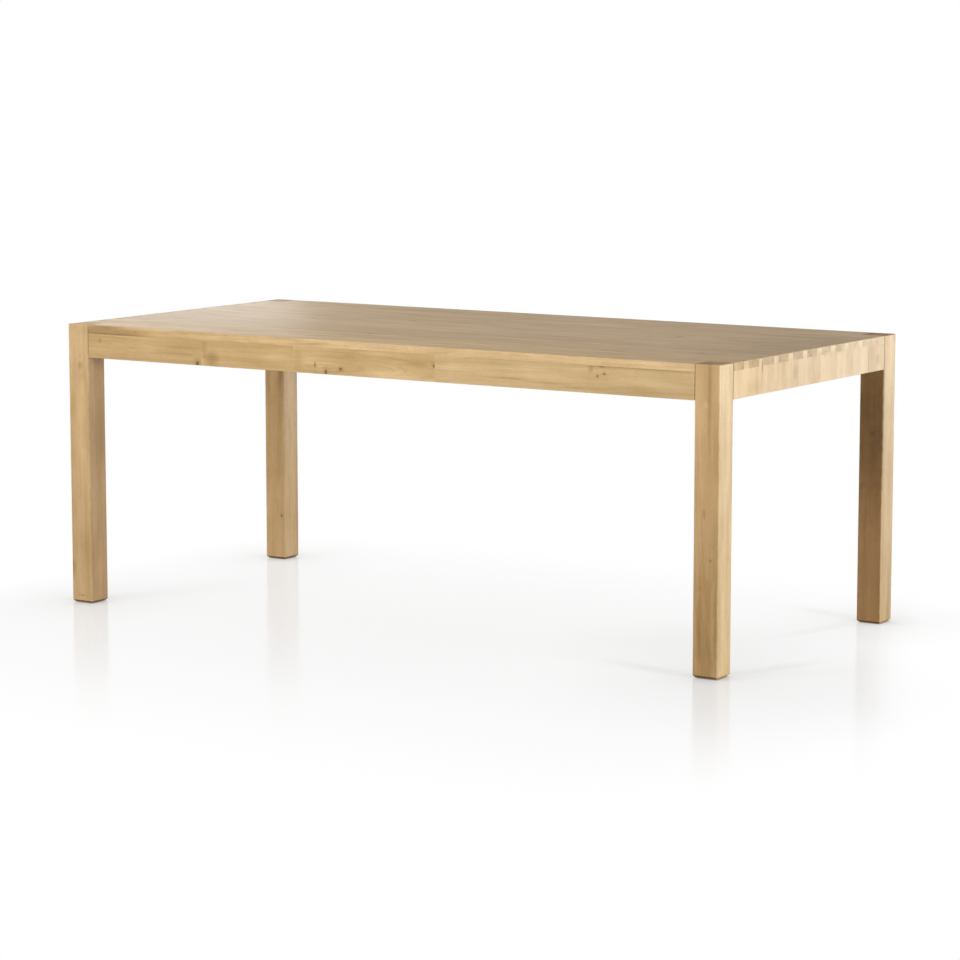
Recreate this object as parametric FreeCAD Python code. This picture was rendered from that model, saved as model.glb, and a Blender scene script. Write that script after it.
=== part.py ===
import FreeCAD, Part
import math
import os

# Parsons dining table in millimetres, +Z up. The origin is on the floor under the middle of the table,
# +X runs along its length and -Y is its front. A boarded top is box-jointed to an end apron of upright
# staves at each end, side rails run under its long edges, and four square legs stand flush in the corners.

Vector = FreeCAD.Vector

# Overall sizes and timber sections
TABLE_LENGTH = 2000.0
TABLE_WIDTH = 950.0
TABLE_HEIGHT = 760.0
TOP_THICKNESS = 20.0
LEG_SIDE = 68.0
RAIL_HEIGHT = 68.0
RAIL_THICKNESS = 20.0
END_THICKNESS = 20.0
LEG_FIT = 0.3

# Box joint at each end: fingers carried by each top board, front to back, and the width of an apron pin
BOARD_FINGERS = (2, 2, 2, 2, 2, 1)
PIN_WIDTH = 25.4

# Side rails: proportions of the end-jointed lengths, left to right at the front, and the teeth that join them
RAIL_LENGTH_RATIO = (388, 299, 439, 738)
TOOTH_COUNT = 2
TOOTH_LENGTH = 12.0

# Worked edges
TOP_ROUND = 2.0
APRON_ROUND = 1.0
LEG_ROUND = 3.0
LEG_END_CHAMFER = 5.5
CUT_MARGIN = 5.0

# Dowels between a side rail and the top, set in the bays between the cross rails
DOWELS_PER_BAY = 2
DOWEL_RADIUS = 4.0
DOWEL_IN_RAIL = 18.0
DOWEL_IN_TOP = 12.0
DOWEL_FIT = 0.1
DOWEL_END_ROOM = 1.0

# Cross rails under the top, stub-tenoned into the side rails
CROSS_NAMES = ("left", "middle", "right")
CROSS_WIDTH = 28.0
CROSS_HEIGHT = 45.0
CROSS_SHOULDER_ROOM = 0.5
TENON_LENGTH = 8.0
TENON_THICKNESS = 12.0
TENON_HEIGHT = 25.0
TENON_FIT = 0.1
TENON_END_ROOM = 1.0
SLOT_TRAVEL = 8.0
SLOT_SEAT = 15.0

# Pan-head wood screws
SCREW_RADIUS = 2.0
SCREW_HEAD_RADIUS = 4.0
SCREW_HEAD_HEIGHT = 2.4
SCREW_TIP = 4.0
SCREW_FIT = 0.1
SCREW_PASS = 0.3
SCREW_END_ROOM = 1.0
DRIVE_LENGTH = 4.6
DRIVE_WIDTH = 0.9
DRIVE_DEPTH = 1.3
CROSS_SCREW_LENGTH = 28.0
BRACKET_SCREW_LENGTH = 17.0

# Bent steel corner brackets
BRACKET_THICKNESS = 3.0
BRACKET_HEIGHT = 56.0
BRACKET_FLANGE = 36.0
BRACKET_GAP = 10.0
BRACKET_SCREW_SPACING = 30.0

# Hanger bolts, washers and nuts that draw a leg into its corner
BOLT_RADIUS = 4.0
BOLT_SPACING = 28.0
BOLT_BITE = 45.0
BOLT_TIP = 8.0
BOLT_TIP_RADIUS = 1.0
BOLT_TAIL = 6.0
BOLT_FIT = 0.1
BOLT_PASS = 0.5
BOLT_END_ROOM = 1.0
BOLT_FLAT = 12.0
BOLT_FLAT_MARGIN = 3.0
WASHER_RADIUS = 8.0
WASHER_THICKNESS = 1.6
NUT_ACROSS_FLATS = 13.0
NUT_HEIGHT = 6.5

# Levelling feet: a swivel pad, a hexagonal foot with its stud, and a flanged insert in the end of the leg
LEG_CLEARANCE = 1.5
PAD_RADIUS = 13.0
PAD_HEIGHT = 2.5
PAD_SOLE = 0.8
PAD_ROUND = 0.6
FOOT_PLAY = 0.2
FOOT_ACROSS_FLATS = 24.0
FOOT_HEIGHT = 4.0
FOOT_ROOM = 1.0
FOOT_STOP_ROOM = 0.3
BOSS_RADIUS = 5.0
BOSS_LIP = 0.6
STUD_RADIUS = 4.0
STUD_LENGTH = 34.0
STUD_CHAMFER = 1.0
STUD_ROOM = 0.8
STUD_END_ROOM = 2.0
INSERT_RADIUS = 6.0
INSERT_LENGTH = 18.0
INSERT_FLANGE_RADIUS = 10.0
INSERT_FLANGE_HEIGHT = 1.2
INSERT_FIT = 0.1
THREAD_FIT = 0.08

# Places worked out from the sizes above
HALF_LENGTH = TABLE_LENGTH / 2
HALF_WIDTH = TABLE_WIDTH / 2
TOP_UNDERSIDE = TABLE_HEIGHT - TOP_THICKNESS
APRON_BOTTOM = TOP_UNDERSIDE - RAIL_HEIGHT
APRON_MIDDLE = (TOP_UNDERSIDE + APRON_BOTTOM) / 2
LEG_POCKET = LEG_SIDE + LEG_FIT
HALF_RAIL = HALF_LENGTH - LEG_POCKET
HALF_END = HALF_WIDTH - LEG_POCKET
FINGER_COUNT = sum(BOARD_FINGERS)
FINGER_WIDTH = (2 * HALF_END - (FINGER_COUNT - 1) * PIN_WIDTH) / FINGER_COUNT
FINGER_PITCH = FINGER_WIDTH + PIN_WIDTH
UP = Vector(0, 0, 1)
INWARD = Vector(1, 1, 0).normalize()
ARRIS = Vector(LEG_SIDE - HALF_LENGTH, LEG_SIDE - HALF_WIDTH, 0)
BOLT_HEIGHTS = (APRON_MIDDLE - BOLT_SPACING / 2, APRON_MIDDLE + BOLT_SPACING / 2)
LEG_AXIS = Vector(LEG_SIDE / 2 - HALF_LENGTH, LEG_SIDE / 2 - HALF_WIDTH, 0)
FOOT_BOTTOM = PAD_HEIGHT + FOOT_PLAY
FOOT_TOP = FOOT_BOTTOM + FOOT_HEIGHT
POCKET_TOP = FOOT_TOP + FOOT_STOP_ROOM
STUD_TOP = FOOT_TOP + STUD_LENGTH
CORNERS = {"front_left": (-1, -1), "front_right": (1, -1), "back_left": (-1, 1), "back_right": (1, 1)}


def box(low, high):
    """A box between two corners."""
    size = Vector(*high) - Vector(*low)
    return Part.makeBox(size.x, size.y, size.z, Vector(*low))


def cylinder(radius, start, direction, length):
    return Part.makeCylinder(radius, length, start, direction)


def prism(points, bottom, top):
    """An upright prism on a plan outline of (x, y) points."""
    outline = [Vector(x, y, bottom) for x, y in points]
    face = Part.Face(Part.makePolygon(outline + outline[:1]))
    return face.extrude(UP * (top - bottom))


def hexagon(across_flats, bottom, top):
    corner = across_flats / math.sqrt(3)
    turns = [math.radians(60 * side) for side in range(6)]
    return prism([(corner * math.cos(turn), corner * math.sin(turn)) for turn in turns], bottom, top)


def pointed(shape, start, direction):
    """Carries a shape drawn up the Z axis from the origin to a start point and direction."""
    moved = shape.copy()
    moved.Placement = FreeCAD.Placement(start, FreeCAD.Rotation(UP, direction))
    return moved


def turned(shape, degrees):
    """Turns a shape about the table's upright centre line."""
    moved = shape.copy()
    moved.rotate(Vector(0, 0, 0), UP, degrees)
    return moved


def at_corner(shape, side_x, side_y):
    """Carries a shape drawn in the front left corner to the corner on the given sides."""
    if side_x > 0:
        shape = shape.mirror(Vector(0, 0, 0), Vector(1, 0, 0))
    if side_y > 0:
        shape = shape.mirror(Vector(0, 0, 0), Vector(0, 1, 0))
    return shape


def all_corners(shapes):
    return [at_corner(shape, *sides) for sides in CORNERS.values() for shape in shapes]


def round_waste(length, radius):
    """Waste beside a rounded edge on the X axis, with the piece towards +Y and -Z."""
    reach = radius + CUT_MARGIN
    waste = Part.makeBox(length, reach, reach, Vector(-length / 2, -CUT_MARGIN, -radius))
    return waste.cut(cylinder(radius, Vector(-length / 2, radius, -radius), Vector(1, 0, 0), length))


def edge_wastes(radius, height, lower_edge):
    """Waste along the four outer edges of the table at one height."""
    wastes = []
    for degrees, reach, length in (
        (0, HALF_WIDTH, TABLE_LENGTH),
        (90, HALF_LENGTH, TABLE_WIDTH),
        (180, HALF_WIDTH, TABLE_LENGTH),
        (270, HALF_LENGTH, TABLE_WIDTH),
    ):
        waste = round_waste(length + 2 * CUT_MARGIN, radius)
        if lower_edge:
            waste.rotate(Vector(0, 0, 0), Vector(0, 1, 0), 180)
        waste.translate(Vector(0, -reach, height))
        wastes.append(turned(waste, degrees))
    return wastes


def finger_start(index):
    return index * FINGER_PITCH - HALF_END


def board_seams():
    """The glue lines between the boards, front to back, each in the middle of a pin."""
    seams = []
    fingers = 0
    for count in BOARD_FINGERS[:-1]:
        fingers += count
        seams.append(finger_start(fingers) - PIN_WIDTH / 2)
    return seams


def board_spans():
    edges = [-HALF_WIDTH] + board_seams() + [HALF_WIDTH]
    return list(zip(edges, edges[1:]))


def stave_spans():
    edges = [-HALF_END] + board_seams() + [HALF_END]
    return list(zip(edges, edges[1:]))


def pin_spans():
    return [(finger_start(index) - PIN_WIDTH, finger_start(index)) for index in range(1, FINGER_COUNT)]


def cross_places():
    """Where the cross rails lie along the table, evenly spaced between the end aprons."""
    bay = 2 * (HALF_LENGTH - END_THICKNESS) / (len(CROSS_NAMES) + 1)
    return [END_THICKNESS - HALF_LENGTH + bay * (index + 1) for index in range(len(CROSS_NAMES))]


def bracket_reach(apron_thickness):
    """How far the bend of a bracket's flange lies from the outer face of the table."""
    return 2 * LEG_SIDE + BRACKET_GAP * math.sqrt(2) - apron_thickness


def dowel_places():
    """Where the dowels lie along a side rail: evenly in each bay between brackets and cross rails."""
    end = HALF_LENGTH - bracket_reach(RAIL_THICKNESS) - BRACKET_FLANGE
    marks = [-end] + cross_places() + [end]
    places = []
    for start, stop in zip(marks, marks[1:]):
        step = (stop - start) / (DOWELS_PER_BAY + 1)
        places += [start + step * (index + 1) for index in range(DOWELS_PER_BAY)]
    return places


def front_dowels(radius, end_room):
    """The dowels of the front rail, or with room at their ends, the holes for them."""
    bottom = TOP_UNDERSIDE - DOWEL_IN_RAIL - end_room
    length = DOWEL_IN_RAIL + DOWEL_IN_TOP + 2 * end_room
    middle = RAIL_THICKNESS / 2 - HALF_WIDTH
    return [cylinder(radius, Vector(place, middle, bottom), UP, length) for place in dowel_places()]


def dowel_holes():
    front = front_dowels(DOWEL_RADIUS + DOWEL_FIT, DOWEL_END_ROOM)
    return front + [turned(hole, 180) for hole in front]


def screw(length):
    """A pan-head screw up the Z axis, with the seat of its head at the origin and a cross recess."""
    head = cylinder(SCREW_HEAD_RADIUS, Vector(0, 0, -SCREW_HEAD_HEIGHT), UP, SCREW_HEAD_HEIGHT)
    for along, across in ((DRIVE_LENGTH, DRIVE_WIDTH), (DRIVE_WIDTH, DRIVE_LENGTH)):
        low = (-along / 2, -across / 2, -SCREW_HEAD_HEIGHT - CUT_MARGIN)
        head = head.cut(box(low, (along / 2, across / 2, DRIVE_DEPTH - SCREW_HEAD_HEIGHT)))
    shank = cylinder(SCREW_RADIUS, Vector(0, 0, 0), UP, length - SCREW_TIP)
    tip = Part.makeCone(SCREW_RADIUS, 0, SCREW_TIP, Vector(0, 0, length - SCREW_TIP))
    return head.fuse([shank, tip])


def screw_pilot(start, direction, length):
    return cylinder(SCREW_RADIUS + SCREW_FIT, start, direction, length + SCREW_END_ROOM)


def cross_screw_places():
    """Seat points of the screws that hold the boards: one for each board on each cross rail."""
    height = TOP_UNDERSIDE - SLOT_SEAT
    return [Vector(place, (low + high) / 2, height) for place in cross_places() for low, high in board_spans()]


def cross_pilots():
    return [screw_pilot(place, UP, CROSS_SCREW_LENGTH) for place in cross_screw_places()]


def bracket_screw_places():
    """Seat points and directions of the screws of the front left bracket."""
    along_rail = bracket_reach(RAIL_THICKNESS) + BRACKET_FLANGE / 2 - HALF_LENGTH
    along_end = bracket_reach(END_THICKNESS) + BRACKET_FLANGE / 2 - HALF_WIDTH
    rail_seat = RAIL_THICKNESS + BRACKET_THICKNESS - HALF_WIDTH
    end_seat = END_THICKNESS + BRACKET_THICKNESS - HALF_LENGTH
    places = []
    for shift in (-BRACKET_SCREW_SPACING / 2, BRACKET_SCREW_SPACING / 2):
        places.append((Vector(along_rail, rail_seat, APRON_MIDDLE + shift), Vector(0, -1, 0)))
        places.append((Vector(end_seat, along_end, APRON_MIDDLE + shift), Vector(-1, 0, 0)))
    return places


def bracket_pilots():
    pilots = [screw_pilot(seat, way, BRACKET_SCREW_LENGTH) for seat, way in bracket_screw_places()]
    return all_corners(pilots)


def top_boards():
    """The boards of the top, notched for the legs and cut into fingers at both ends."""
    panel = box((-HALF_LENGTH, -HALF_WIDTH, TOP_UNDERSIDE), (HALF_LENGTH, HALF_WIDTH, TABLE_HEIGHT))
    low = (-HALF_LENGTH - CUT_MARGIN, -HALF_WIDTH - CUT_MARGIN, TOP_UNDERSIDE - CUT_MARGIN)
    high = (LEG_POCKET - HALF_LENGTH, LEG_POCKET - HALF_WIDTH, TABLE_HEIGHT + CUT_MARGIN)
    wastes = all_corners([box(low, high)])
    for start, stop in pin_spans():
        low = (HALF_LENGTH - END_THICKNESS, start, TOP_UNDERSIDE - CUT_MARGIN)
        socket = box(low, (HALF_LENGTH + CUT_MARGIN, stop, TABLE_HEIGHT + CUT_MARGIN))
        wastes += [socket, at_corner(socket, 1, -1)]
    wastes += edge_wastes(TOP_ROUND, TABLE_HEIGHT, lower_edge=False)
    wastes += dowel_holes() + cross_pilots()
    boards = {}
    for index, (start, stop) in enumerate(board_spans()):
        low = (-HALF_LENGTH - CUT_MARGIN, start, TOP_UNDERSIDE)
        board = panel.common(box(low, (HALF_LENGTH + CUT_MARGIN, stop, TABLE_HEIGHT)))
        boards[f"top_board_{index + 1}"] = board.cut(wastes)
    return boards


def end_staves():
    """The upright staves of both end aprons, with pins that rise between the fingers of the top."""
    wastes = edge_wastes(TOP_ROUND, TABLE_HEIGHT, lower_edge=False)
    wastes += edge_wastes(APRON_ROUND, APRON_BOTTOM, lower_edge=True)
    wastes += bracket_pilots()
    inside = HALF_LENGTH - END_THICKNESS
    staves = {}
    for index, (start, stop) in enumerate(stave_spans()):
        stave = box((inside, start, APRON_BOTTOM), (HALF_LENGTH, stop, TOP_UNDERSIDE))
        for low, high in pin_spans():
            if high > start and low < stop:
                pin_low = (inside, max(low, start), TOP_UNDERSIDE)
                stave = stave.fuse(box(pin_low, (HALF_LENGTH, min(high, stop), TABLE_HEIGHT)))
        stave = stave.removeSplitter()
        staves[f"right_end_stave_{index + 1}"] = stave.cut(wastes)
        staves[f"left_end_stave_{index + 1}"] = at_corner(stave, 1, -1).cut(wastes)
    return staves


def tooth_line(place):
    """Plan outline of an end joint across a rail, from the outer face to the inner."""
    steps = 2 * TOOTH_COUNT
    depths = [RAIL_THICKNESS * step / steps - HALF_WIDTH for step in range(steps + 1)]
    return [(place + TOOTH_LENGTH * (step % 2 - 0.5), depth) for step, depth in enumerate(depths)]


def square_line(place):
    return [(place, -HALF_WIDTH), (place, RAIL_THICKNESS - HALF_WIDTH)]


def side_rails():
    """The lengths of both side rails, toothed together end to end."""
    wastes = edge_wastes(APRON_ROUND, APRON_BOTTOM, lower_edge=True)
    wastes += dowel_holes() + bracket_pilots()
    for place in cross_places():
        mortise = cross_tenon(place, TENON_FIT, TENON_END_ROOM)
        wastes += [mortise, at_corner(mortise, -1, 1)]
    unit = 2 * HALF_RAIL / sum(RAIL_LENGTH_RATIO)
    joints = [unit * sum(RAIL_LENGTH_RATIO[:index]) - HALF_RAIL for index in range(1, len(RAIL_LENGTH_RATIO))]
    lines = [square_line(-HALF_RAIL)] + [tooth_line(place) for place in joints] + [square_line(HALF_RAIL)]
    rails = {}
    for index, (start, stop) in enumerate(zip(lines, lines[1:])):
        rail = prism(start + stop[::-1], APRON_BOTTOM, TOP_UNDERSIDE)
        rails[f"front_rail_{index + 1}"] = rail.cut(wastes)
        rails[f"back_rail_{len(joints) + 1 - index}"] = turned(rail, 180).cut(wastes)
    return rails


def cross_tenon(place, fit, end_room):
    """The front tenon of a cross rail, or with a fit and end room, its mortise."""
    inside = RAIL_THICKNESS - HALF_WIDTH
    middle = TOP_UNDERSIDE - CROSS_HEIGHT / 2
    side = TENON_THICKNESS / 2 + fit
    rise = TENON_HEIGHT / 2 + fit
    low = (place - side, inside - TENON_LENGTH - end_room, middle - rise)
    return box(low, (place + side, inside + CROSS_SHOULDER_ROOM, middle + rise))


def slot(seat, radius, bottom, top):
    """An upright slot about a screw, long across the grain of the boards."""
    half = SLOT_TRAVEL / 2
    ends = [Vector(seat.x, seat.y + side * half, bottom) for side in (-1, 1)]
    bars = [cylinder(radius, end, UP, top - bottom) for end in ends]
    middle = box((seat.x - radius, seat.y - half, bottom), (seat.x + radius, seat.y + half, top))
    return middle.fuse(bars)


def cross_rails():
    """The rails across the underside of the top, with slotted holes so that the boards can move."""
    shoulder = HALF_WIDTH - RAIL_THICKNESS - CROSS_SHOULDER_ROOM
    bottom = TOP_UNDERSIDE - CROSS_HEIGHT
    rails = {}
    for name, place in zip(CROSS_NAMES, cross_places()):
        low = (place - CROSS_WIDTH / 2, -shoulder, bottom)
        rail = box(low, (place + CROSS_WIDTH / 2, shoulder, TOP_UNDERSIDE))
        tenon = cross_tenon(place, 0, 0)
        rail = rail.fuse([tenon, at_corner(tenon, -1, 1)]).removeSplitter()
        for seat in cross_screw_places():
            if seat.x == place:
                rail = rail.cut(slot(seat, SCREW_RADIUS + SCREW_PASS, seat.z, TOP_UNDERSIDE + CUT_MARGIN))
                rail = rail.cut(slot(seat, SCREW_HEAD_RADIUS + SCREW_PASS, bottom - CUT_MARGIN, seat.z))
        rails[f"cross_rail_{name}"] = rail
    return rails


def bolt_start(height, distance):
    """A point on the axis of a hanger bolt, at a distance inwards from the arris of the leg."""
    return Vector(ARRIS.x, ARRIS.y, height) + INWARD * distance


def leg():
    """The front left leg, with a flat and holes for its hanger bolts and a pocket for its foot."""
    low = (-HALF_LENGTH, -HALF_WIDTH, LEG_CLEARANCE)
    body = box(low, (ARRIS.x, ARRIS.y, TABLE_HEIGHT))
    upright = [edge for edge in body.Edges if abs(edge.tangentAt(edge.FirstParameter).z) > 0.9]
    body = body.makeFillet(LEG_ROUND, upright)
    wastes = edge_wastes(TOP_ROUND, TABLE_HEIGHT, lower_edge=False) + leg_end_wastes()
    flat = [(ARRIS.x, ARRIS.y), (ARRIS.x - BOLT_FLAT, ARRIS.y), (ARRIS.x, ARRIS.y - BOLT_FLAT)]
    wastes.append(prism(flat, APRON_BOTTOM + BOLT_FLAT_MARGIN, TOP_UNDERSIDE - BOLT_FLAT_MARGIN))
    for height in BOLT_HEIGHTS:
        start = bolt_start(height, -BOLT_BITE - BOLT_END_ROOM)
        wastes.append(cylinder(BOLT_RADIUS + BOLT_FIT, start, INWARD, BOLT_BITE + BOLT_END_ROOM))
    return body.cut(wastes + foot_wastes())


def leg_end_wastes():
    """Waste of the chamfers round the lower end of the leg."""
    size = LEG_END_CHAMFER
    profile = [Vector(0, 0, size), Vector(0, size, 0), Vector(0, 0, 0)]
    face = Part.Face(Part.makePolygon(profile + profile[:1]))
    bar = face.extrude(Vector(LEG_SIDE, 0, 0))
    bar.translate(Vector(-LEG_SIDE / 2, -LEG_SIDE / 2, LEG_CLEARANCE))
    wastes = []
    for degrees in (0, 90, 180, 270):
        waste = turned(bar, degrees)
        waste.translate(LEG_AXIS)
        wastes.append(waste)
    return wastes


def foot_wastes():
    """Waste of the pocket, the insert's seat and the stud's bore in the end of the leg."""
    pocket_radius = FOOT_ACROSS_FLATS / math.sqrt(3) + FOOT_ROOM
    steps = (
        (pocket_radius, LEG_CLEARANCE - CUT_MARGIN, POCKET_TOP),
        (INSERT_FLANGE_RADIUS + INSERT_FIT, POCKET_TOP, POCKET_TOP + INSERT_FLANGE_HEIGHT),
        (INSERT_RADIUS + INSERT_FIT, POCKET_TOP, POCKET_TOP + INSERT_LENGTH),
        (STUD_RADIUS + STUD_ROOM, POCKET_TOP, STUD_TOP + STUD_END_ROOM),
    )
    return [cylinder(radius, LEG_AXIS + UP * low, UP, high - low) for radius, low, high in steps]


def legs():
    body = leg()
    return {f"leg_{name}": at_corner(body, *sides) for name, sides in CORNERS.items()}


def bracket():
    """The front left bracket: a diagonal plate with a flange on the side rail and one on the end apron."""
    rail_bend = bracket_reach(RAIL_THICKNESS)
    end_bend = bracket_reach(END_THICKNESS)
    inset = BRACKET_THICKNESS * (math.sqrt(2) - 1)
    plan = [
        (rail_bend + BRACKET_FLANGE, RAIL_THICKNESS),
        (rail_bend, RAIL_THICKNESS),
        (END_THICKNESS, end_bend),
        (END_THICKNESS, end_bend + BRACKET_FLANGE),
        (END_THICKNESS + BRACKET_THICKNESS, end_bend + BRACKET_FLANGE),
        (END_THICKNESS + BRACKET_THICKNESS, end_bend + inset),
        (rail_bend + inset, RAIL_THICKNESS + BRACKET_THICKNESS),
        (rail_bend + BRACKET_FLANGE, RAIL_THICKNESS + BRACKET_THICKNESS),
    ]
    points = [(x - HALF_LENGTH, y - HALF_WIDTH) for x, y in plan]
    plate = prism(points, APRON_MIDDLE - BRACKET_HEIGHT / 2, APRON_MIDDLE + BRACKET_HEIGHT / 2)
    holes = [
        cylinder(BOLT_RADIUS + BOLT_PASS, bolt_start(height, 0), INWARD, BRACKET_GAP + 2 * BRACKET_THICKNESS)
        for height in BOLT_HEIGHTS
    ]
    for seat, way in bracket_screw_places():
        start = seat - way * CUT_MARGIN
        holes.append(cylinder(SCREW_RADIUS + SCREW_PASS, start, way, BRACKET_THICKNESS + 2 * CUT_MARGIN))
    return plate.cut(holes)


def brackets():
    plate = bracket()
    return {f"corner_bracket_{name}": at_corner(plate, *sides) for name, sides in CORNERS.items()}


def hanger_bolt():
    """A hanger bolt up the Z axis from its point, which lies deepest in the leg."""
    length = BOLT_BITE + BRACKET_GAP + BRACKET_THICKNESS + WASHER_THICKNESS + NUT_HEIGHT + BOLT_TAIL
    tip = Part.makeCone(BOLT_TIP_RADIUS, BOLT_RADIUS, BOLT_TIP)
    return tip.fuse(cylinder(BOLT_RADIUS, Vector(0, 0, BOLT_TIP), UP, length - BOLT_TIP)).removeSplitter()


def ring(outer_radius, inner_radius, height):
    outer = cylinder(outer_radius, Vector(0, 0, 0), UP, height)
    return outer.cut(cylinder(inner_radius, Vector(0, 0, 0), UP, height))


def bolt_nut():
    bore = cylinder(BOLT_RADIUS + BOLT_FIT, Vector(0, 0, 0), UP, NUT_HEIGHT)
    return hexagon(NUT_ACROSS_FLATS, 0, NUT_HEIGHT).cut(bore)


def on_bolts(shape, distance):
    """One copy of a shape on each hanger bolt, at a distance inwards from the arris of the leg."""
    return all_corners([pointed(shape, bolt_start(height, distance), INWARD) for height in BOLT_HEIGHTS])


def fasteners():
    """The loose hardware, one group of solids for each kind."""
    plate_face = BRACKET_GAP + BRACKET_THICKNESS
    washer = ring(WASHER_RADIUS, BOLT_RADIUS + BOLT_FIT, WASHER_THICKNESS)
    bracket_screw = screw(BRACKET_SCREW_LENGTH)
    cross_screw = screw(CROSS_SCREW_LENGTH)
    front = front_dowels(DOWEL_RADIUS, 0)
    corner_screws = [pointed(bracket_screw, seat, way) for seat, way in bracket_screw_places()]
    groups = {
        "hanger_bolts": on_bolts(hanger_bolt(), -BOLT_BITE),
        "hanger_washers": on_bolts(washer, plate_face),
        "hanger_nuts": on_bolts(bolt_nut(), plate_face + WASHER_THICKNESS),
        "bracket_screws": all_corners(corner_screws),
        "cross_rail_screws": [pointed(cross_screw, place, UP) for place in cross_screw_places()],
        "rail_dowels": front + [turned(dowel, 180) for dowel in front],
        "foot_inserts": all_corners([foot_insert()]),
    }
    return {name: Part.makeCompound(solids) for name, solids in groups.items()}


def foot_insert():
    """The threaded insert in the end of the front left leg."""
    barrel = ring(INSERT_RADIUS, STUD_RADIUS + THREAD_FIT, INSERT_LENGTH)
    flange = ring(INSERT_FLANGE_RADIUS, STUD_RADIUS + THREAD_FIT, INSERT_FLANGE_HEIGHT)
    return pointed(barrel.fuse(flange).removeSplitter(), LEG_AXIS + UP * POCKET_TOP, UP)


def levelling_foot():
    """The front left foot: a hexagon with its stud above and a lipped boss below."""
    lip_bottom = PAD_SOLE + FOOT_PLAY
    boss = cylinder(BOSS_RADIUS, UP * lip_bottom, UP, FOOT_BOTTOM - lip_bottom)
    lip = cylinder(BOSS_RADIUS + BOSS_LIP, UP * lip_bottom, UP, BOSS_LIP)
    stud = cylinder(STUD_RADIUS, UP * FOOT_TOP, UP, STUD_LENGTH - STUD_CHAMFER)
    end = Part.makeCone(STUD_RADIUS, STUD_RADIUS - STUD_CHAMFER, STUD_CHAMFER, UP * (STUD_TOP - STUD_CHAMFER))
    foot = hexagon(FOOT_ACROSS_FLATS, FOOT_BOTTOM, FOOT_TOP).fuse([boss, lip, stud, end])
    return pointed(foot.removeSplitter(), LEG_AXIS, UP)


def foot_pad():
    """The front left pad, snapped over the boss of its foot."""
    pad = cylinder(PAD_RADIUS, Vector(0, 0, 0), UP, PAD_HEIGHT)
    upper_rim = [edge for edge in pad.Edges if edge.Closed and edge.CenterOfMass.z > PAD_SOLE]
    pad = pad.makeFillet(PAD_ROUND, upper_rim)
    lip_room = cylinder(BOSS_RADIUS + BOSS_LIP + FOOT_PLAY, UP * PAD_SOLE, UP, BOSS_LIP + 2 * FOOT_PLAY)
    neck = cylinder(BOSS_RADIUS + FOOT_PLAY, UP * PAD_SOLE, UP, PAD_HEIGHT)
    return pointed(pad.cut([lip_room, neck]), LEG_AXIS, UP)


def feet():
    foot = levelling_foot()
    pad = foot_pad()
    pieces = {}
    for name, sides in CORNERS.items():
        pieces[f"levelling_foot_{name}"] = at_corner(foot, *sides)
        pieces[f"foot_pad_{name}"] = at_corner(pad, *sides)
    return pieces


def table():
    """Every piece of the table, by name."""
    makers = (top_boards, end_staves, side_rails, legs, cross_rails, brackets, fasteners, feet)
    return {name: shape for maker in makers for name, shape in maker().items()}


os.makedirs("parts", exist_ok=True)
for node, shape in table().items():
    shape.exportStep(f"parts/{node}.step")
    print(node, len(shape.Solids), round(shape.Volume), shape.isValid())
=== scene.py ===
import math

import bmesh
import bpy
import numpy as np
from mathutils import Euler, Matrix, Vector


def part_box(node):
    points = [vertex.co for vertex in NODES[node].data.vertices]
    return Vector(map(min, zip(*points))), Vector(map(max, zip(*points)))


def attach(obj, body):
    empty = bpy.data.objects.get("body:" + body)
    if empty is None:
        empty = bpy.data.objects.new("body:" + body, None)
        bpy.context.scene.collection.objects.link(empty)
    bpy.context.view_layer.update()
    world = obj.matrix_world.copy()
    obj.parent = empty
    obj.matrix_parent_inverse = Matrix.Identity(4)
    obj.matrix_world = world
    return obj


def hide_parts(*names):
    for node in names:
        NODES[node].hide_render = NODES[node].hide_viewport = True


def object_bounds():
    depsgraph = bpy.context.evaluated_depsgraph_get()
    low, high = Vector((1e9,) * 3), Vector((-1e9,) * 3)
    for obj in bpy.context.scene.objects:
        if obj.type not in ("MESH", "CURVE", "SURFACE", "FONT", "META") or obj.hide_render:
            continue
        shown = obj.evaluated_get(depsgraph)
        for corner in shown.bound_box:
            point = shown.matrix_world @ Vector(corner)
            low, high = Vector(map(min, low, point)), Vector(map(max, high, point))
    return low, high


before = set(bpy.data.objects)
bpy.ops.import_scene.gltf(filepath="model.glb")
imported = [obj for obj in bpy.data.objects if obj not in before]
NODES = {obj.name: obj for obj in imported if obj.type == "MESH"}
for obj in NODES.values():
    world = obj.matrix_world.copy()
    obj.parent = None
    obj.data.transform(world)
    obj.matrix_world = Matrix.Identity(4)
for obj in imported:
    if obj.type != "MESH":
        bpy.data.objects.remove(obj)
CAD_BOX = [list(corner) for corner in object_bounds()]

# Faces of the table that show, in metres
FRONT = CAD_BOX[0][1]
RIGHT, _, TOP = CAD_BOX[1]
BACK_LEG_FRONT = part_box("leg_back_left")[0].y
LEFT_LEG_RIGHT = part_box("leg_front_left")[1].x
CORNERS = ("front_left", "front_right", "back_left", "back_right")

# Box joint at the ends: where the first finger starts, the width of a finger and that of the pin beside it
FINGER_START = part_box("right_end_stave_1")[0].y
PIN_WIDTH = 0.0254
FINGER_COUNT = 11
FINGER_WIDTH = (-2 * FINGER_START - (FINGER_COUNT - 1) * PIN_WIDTH) / FINGER_COUNT

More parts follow.
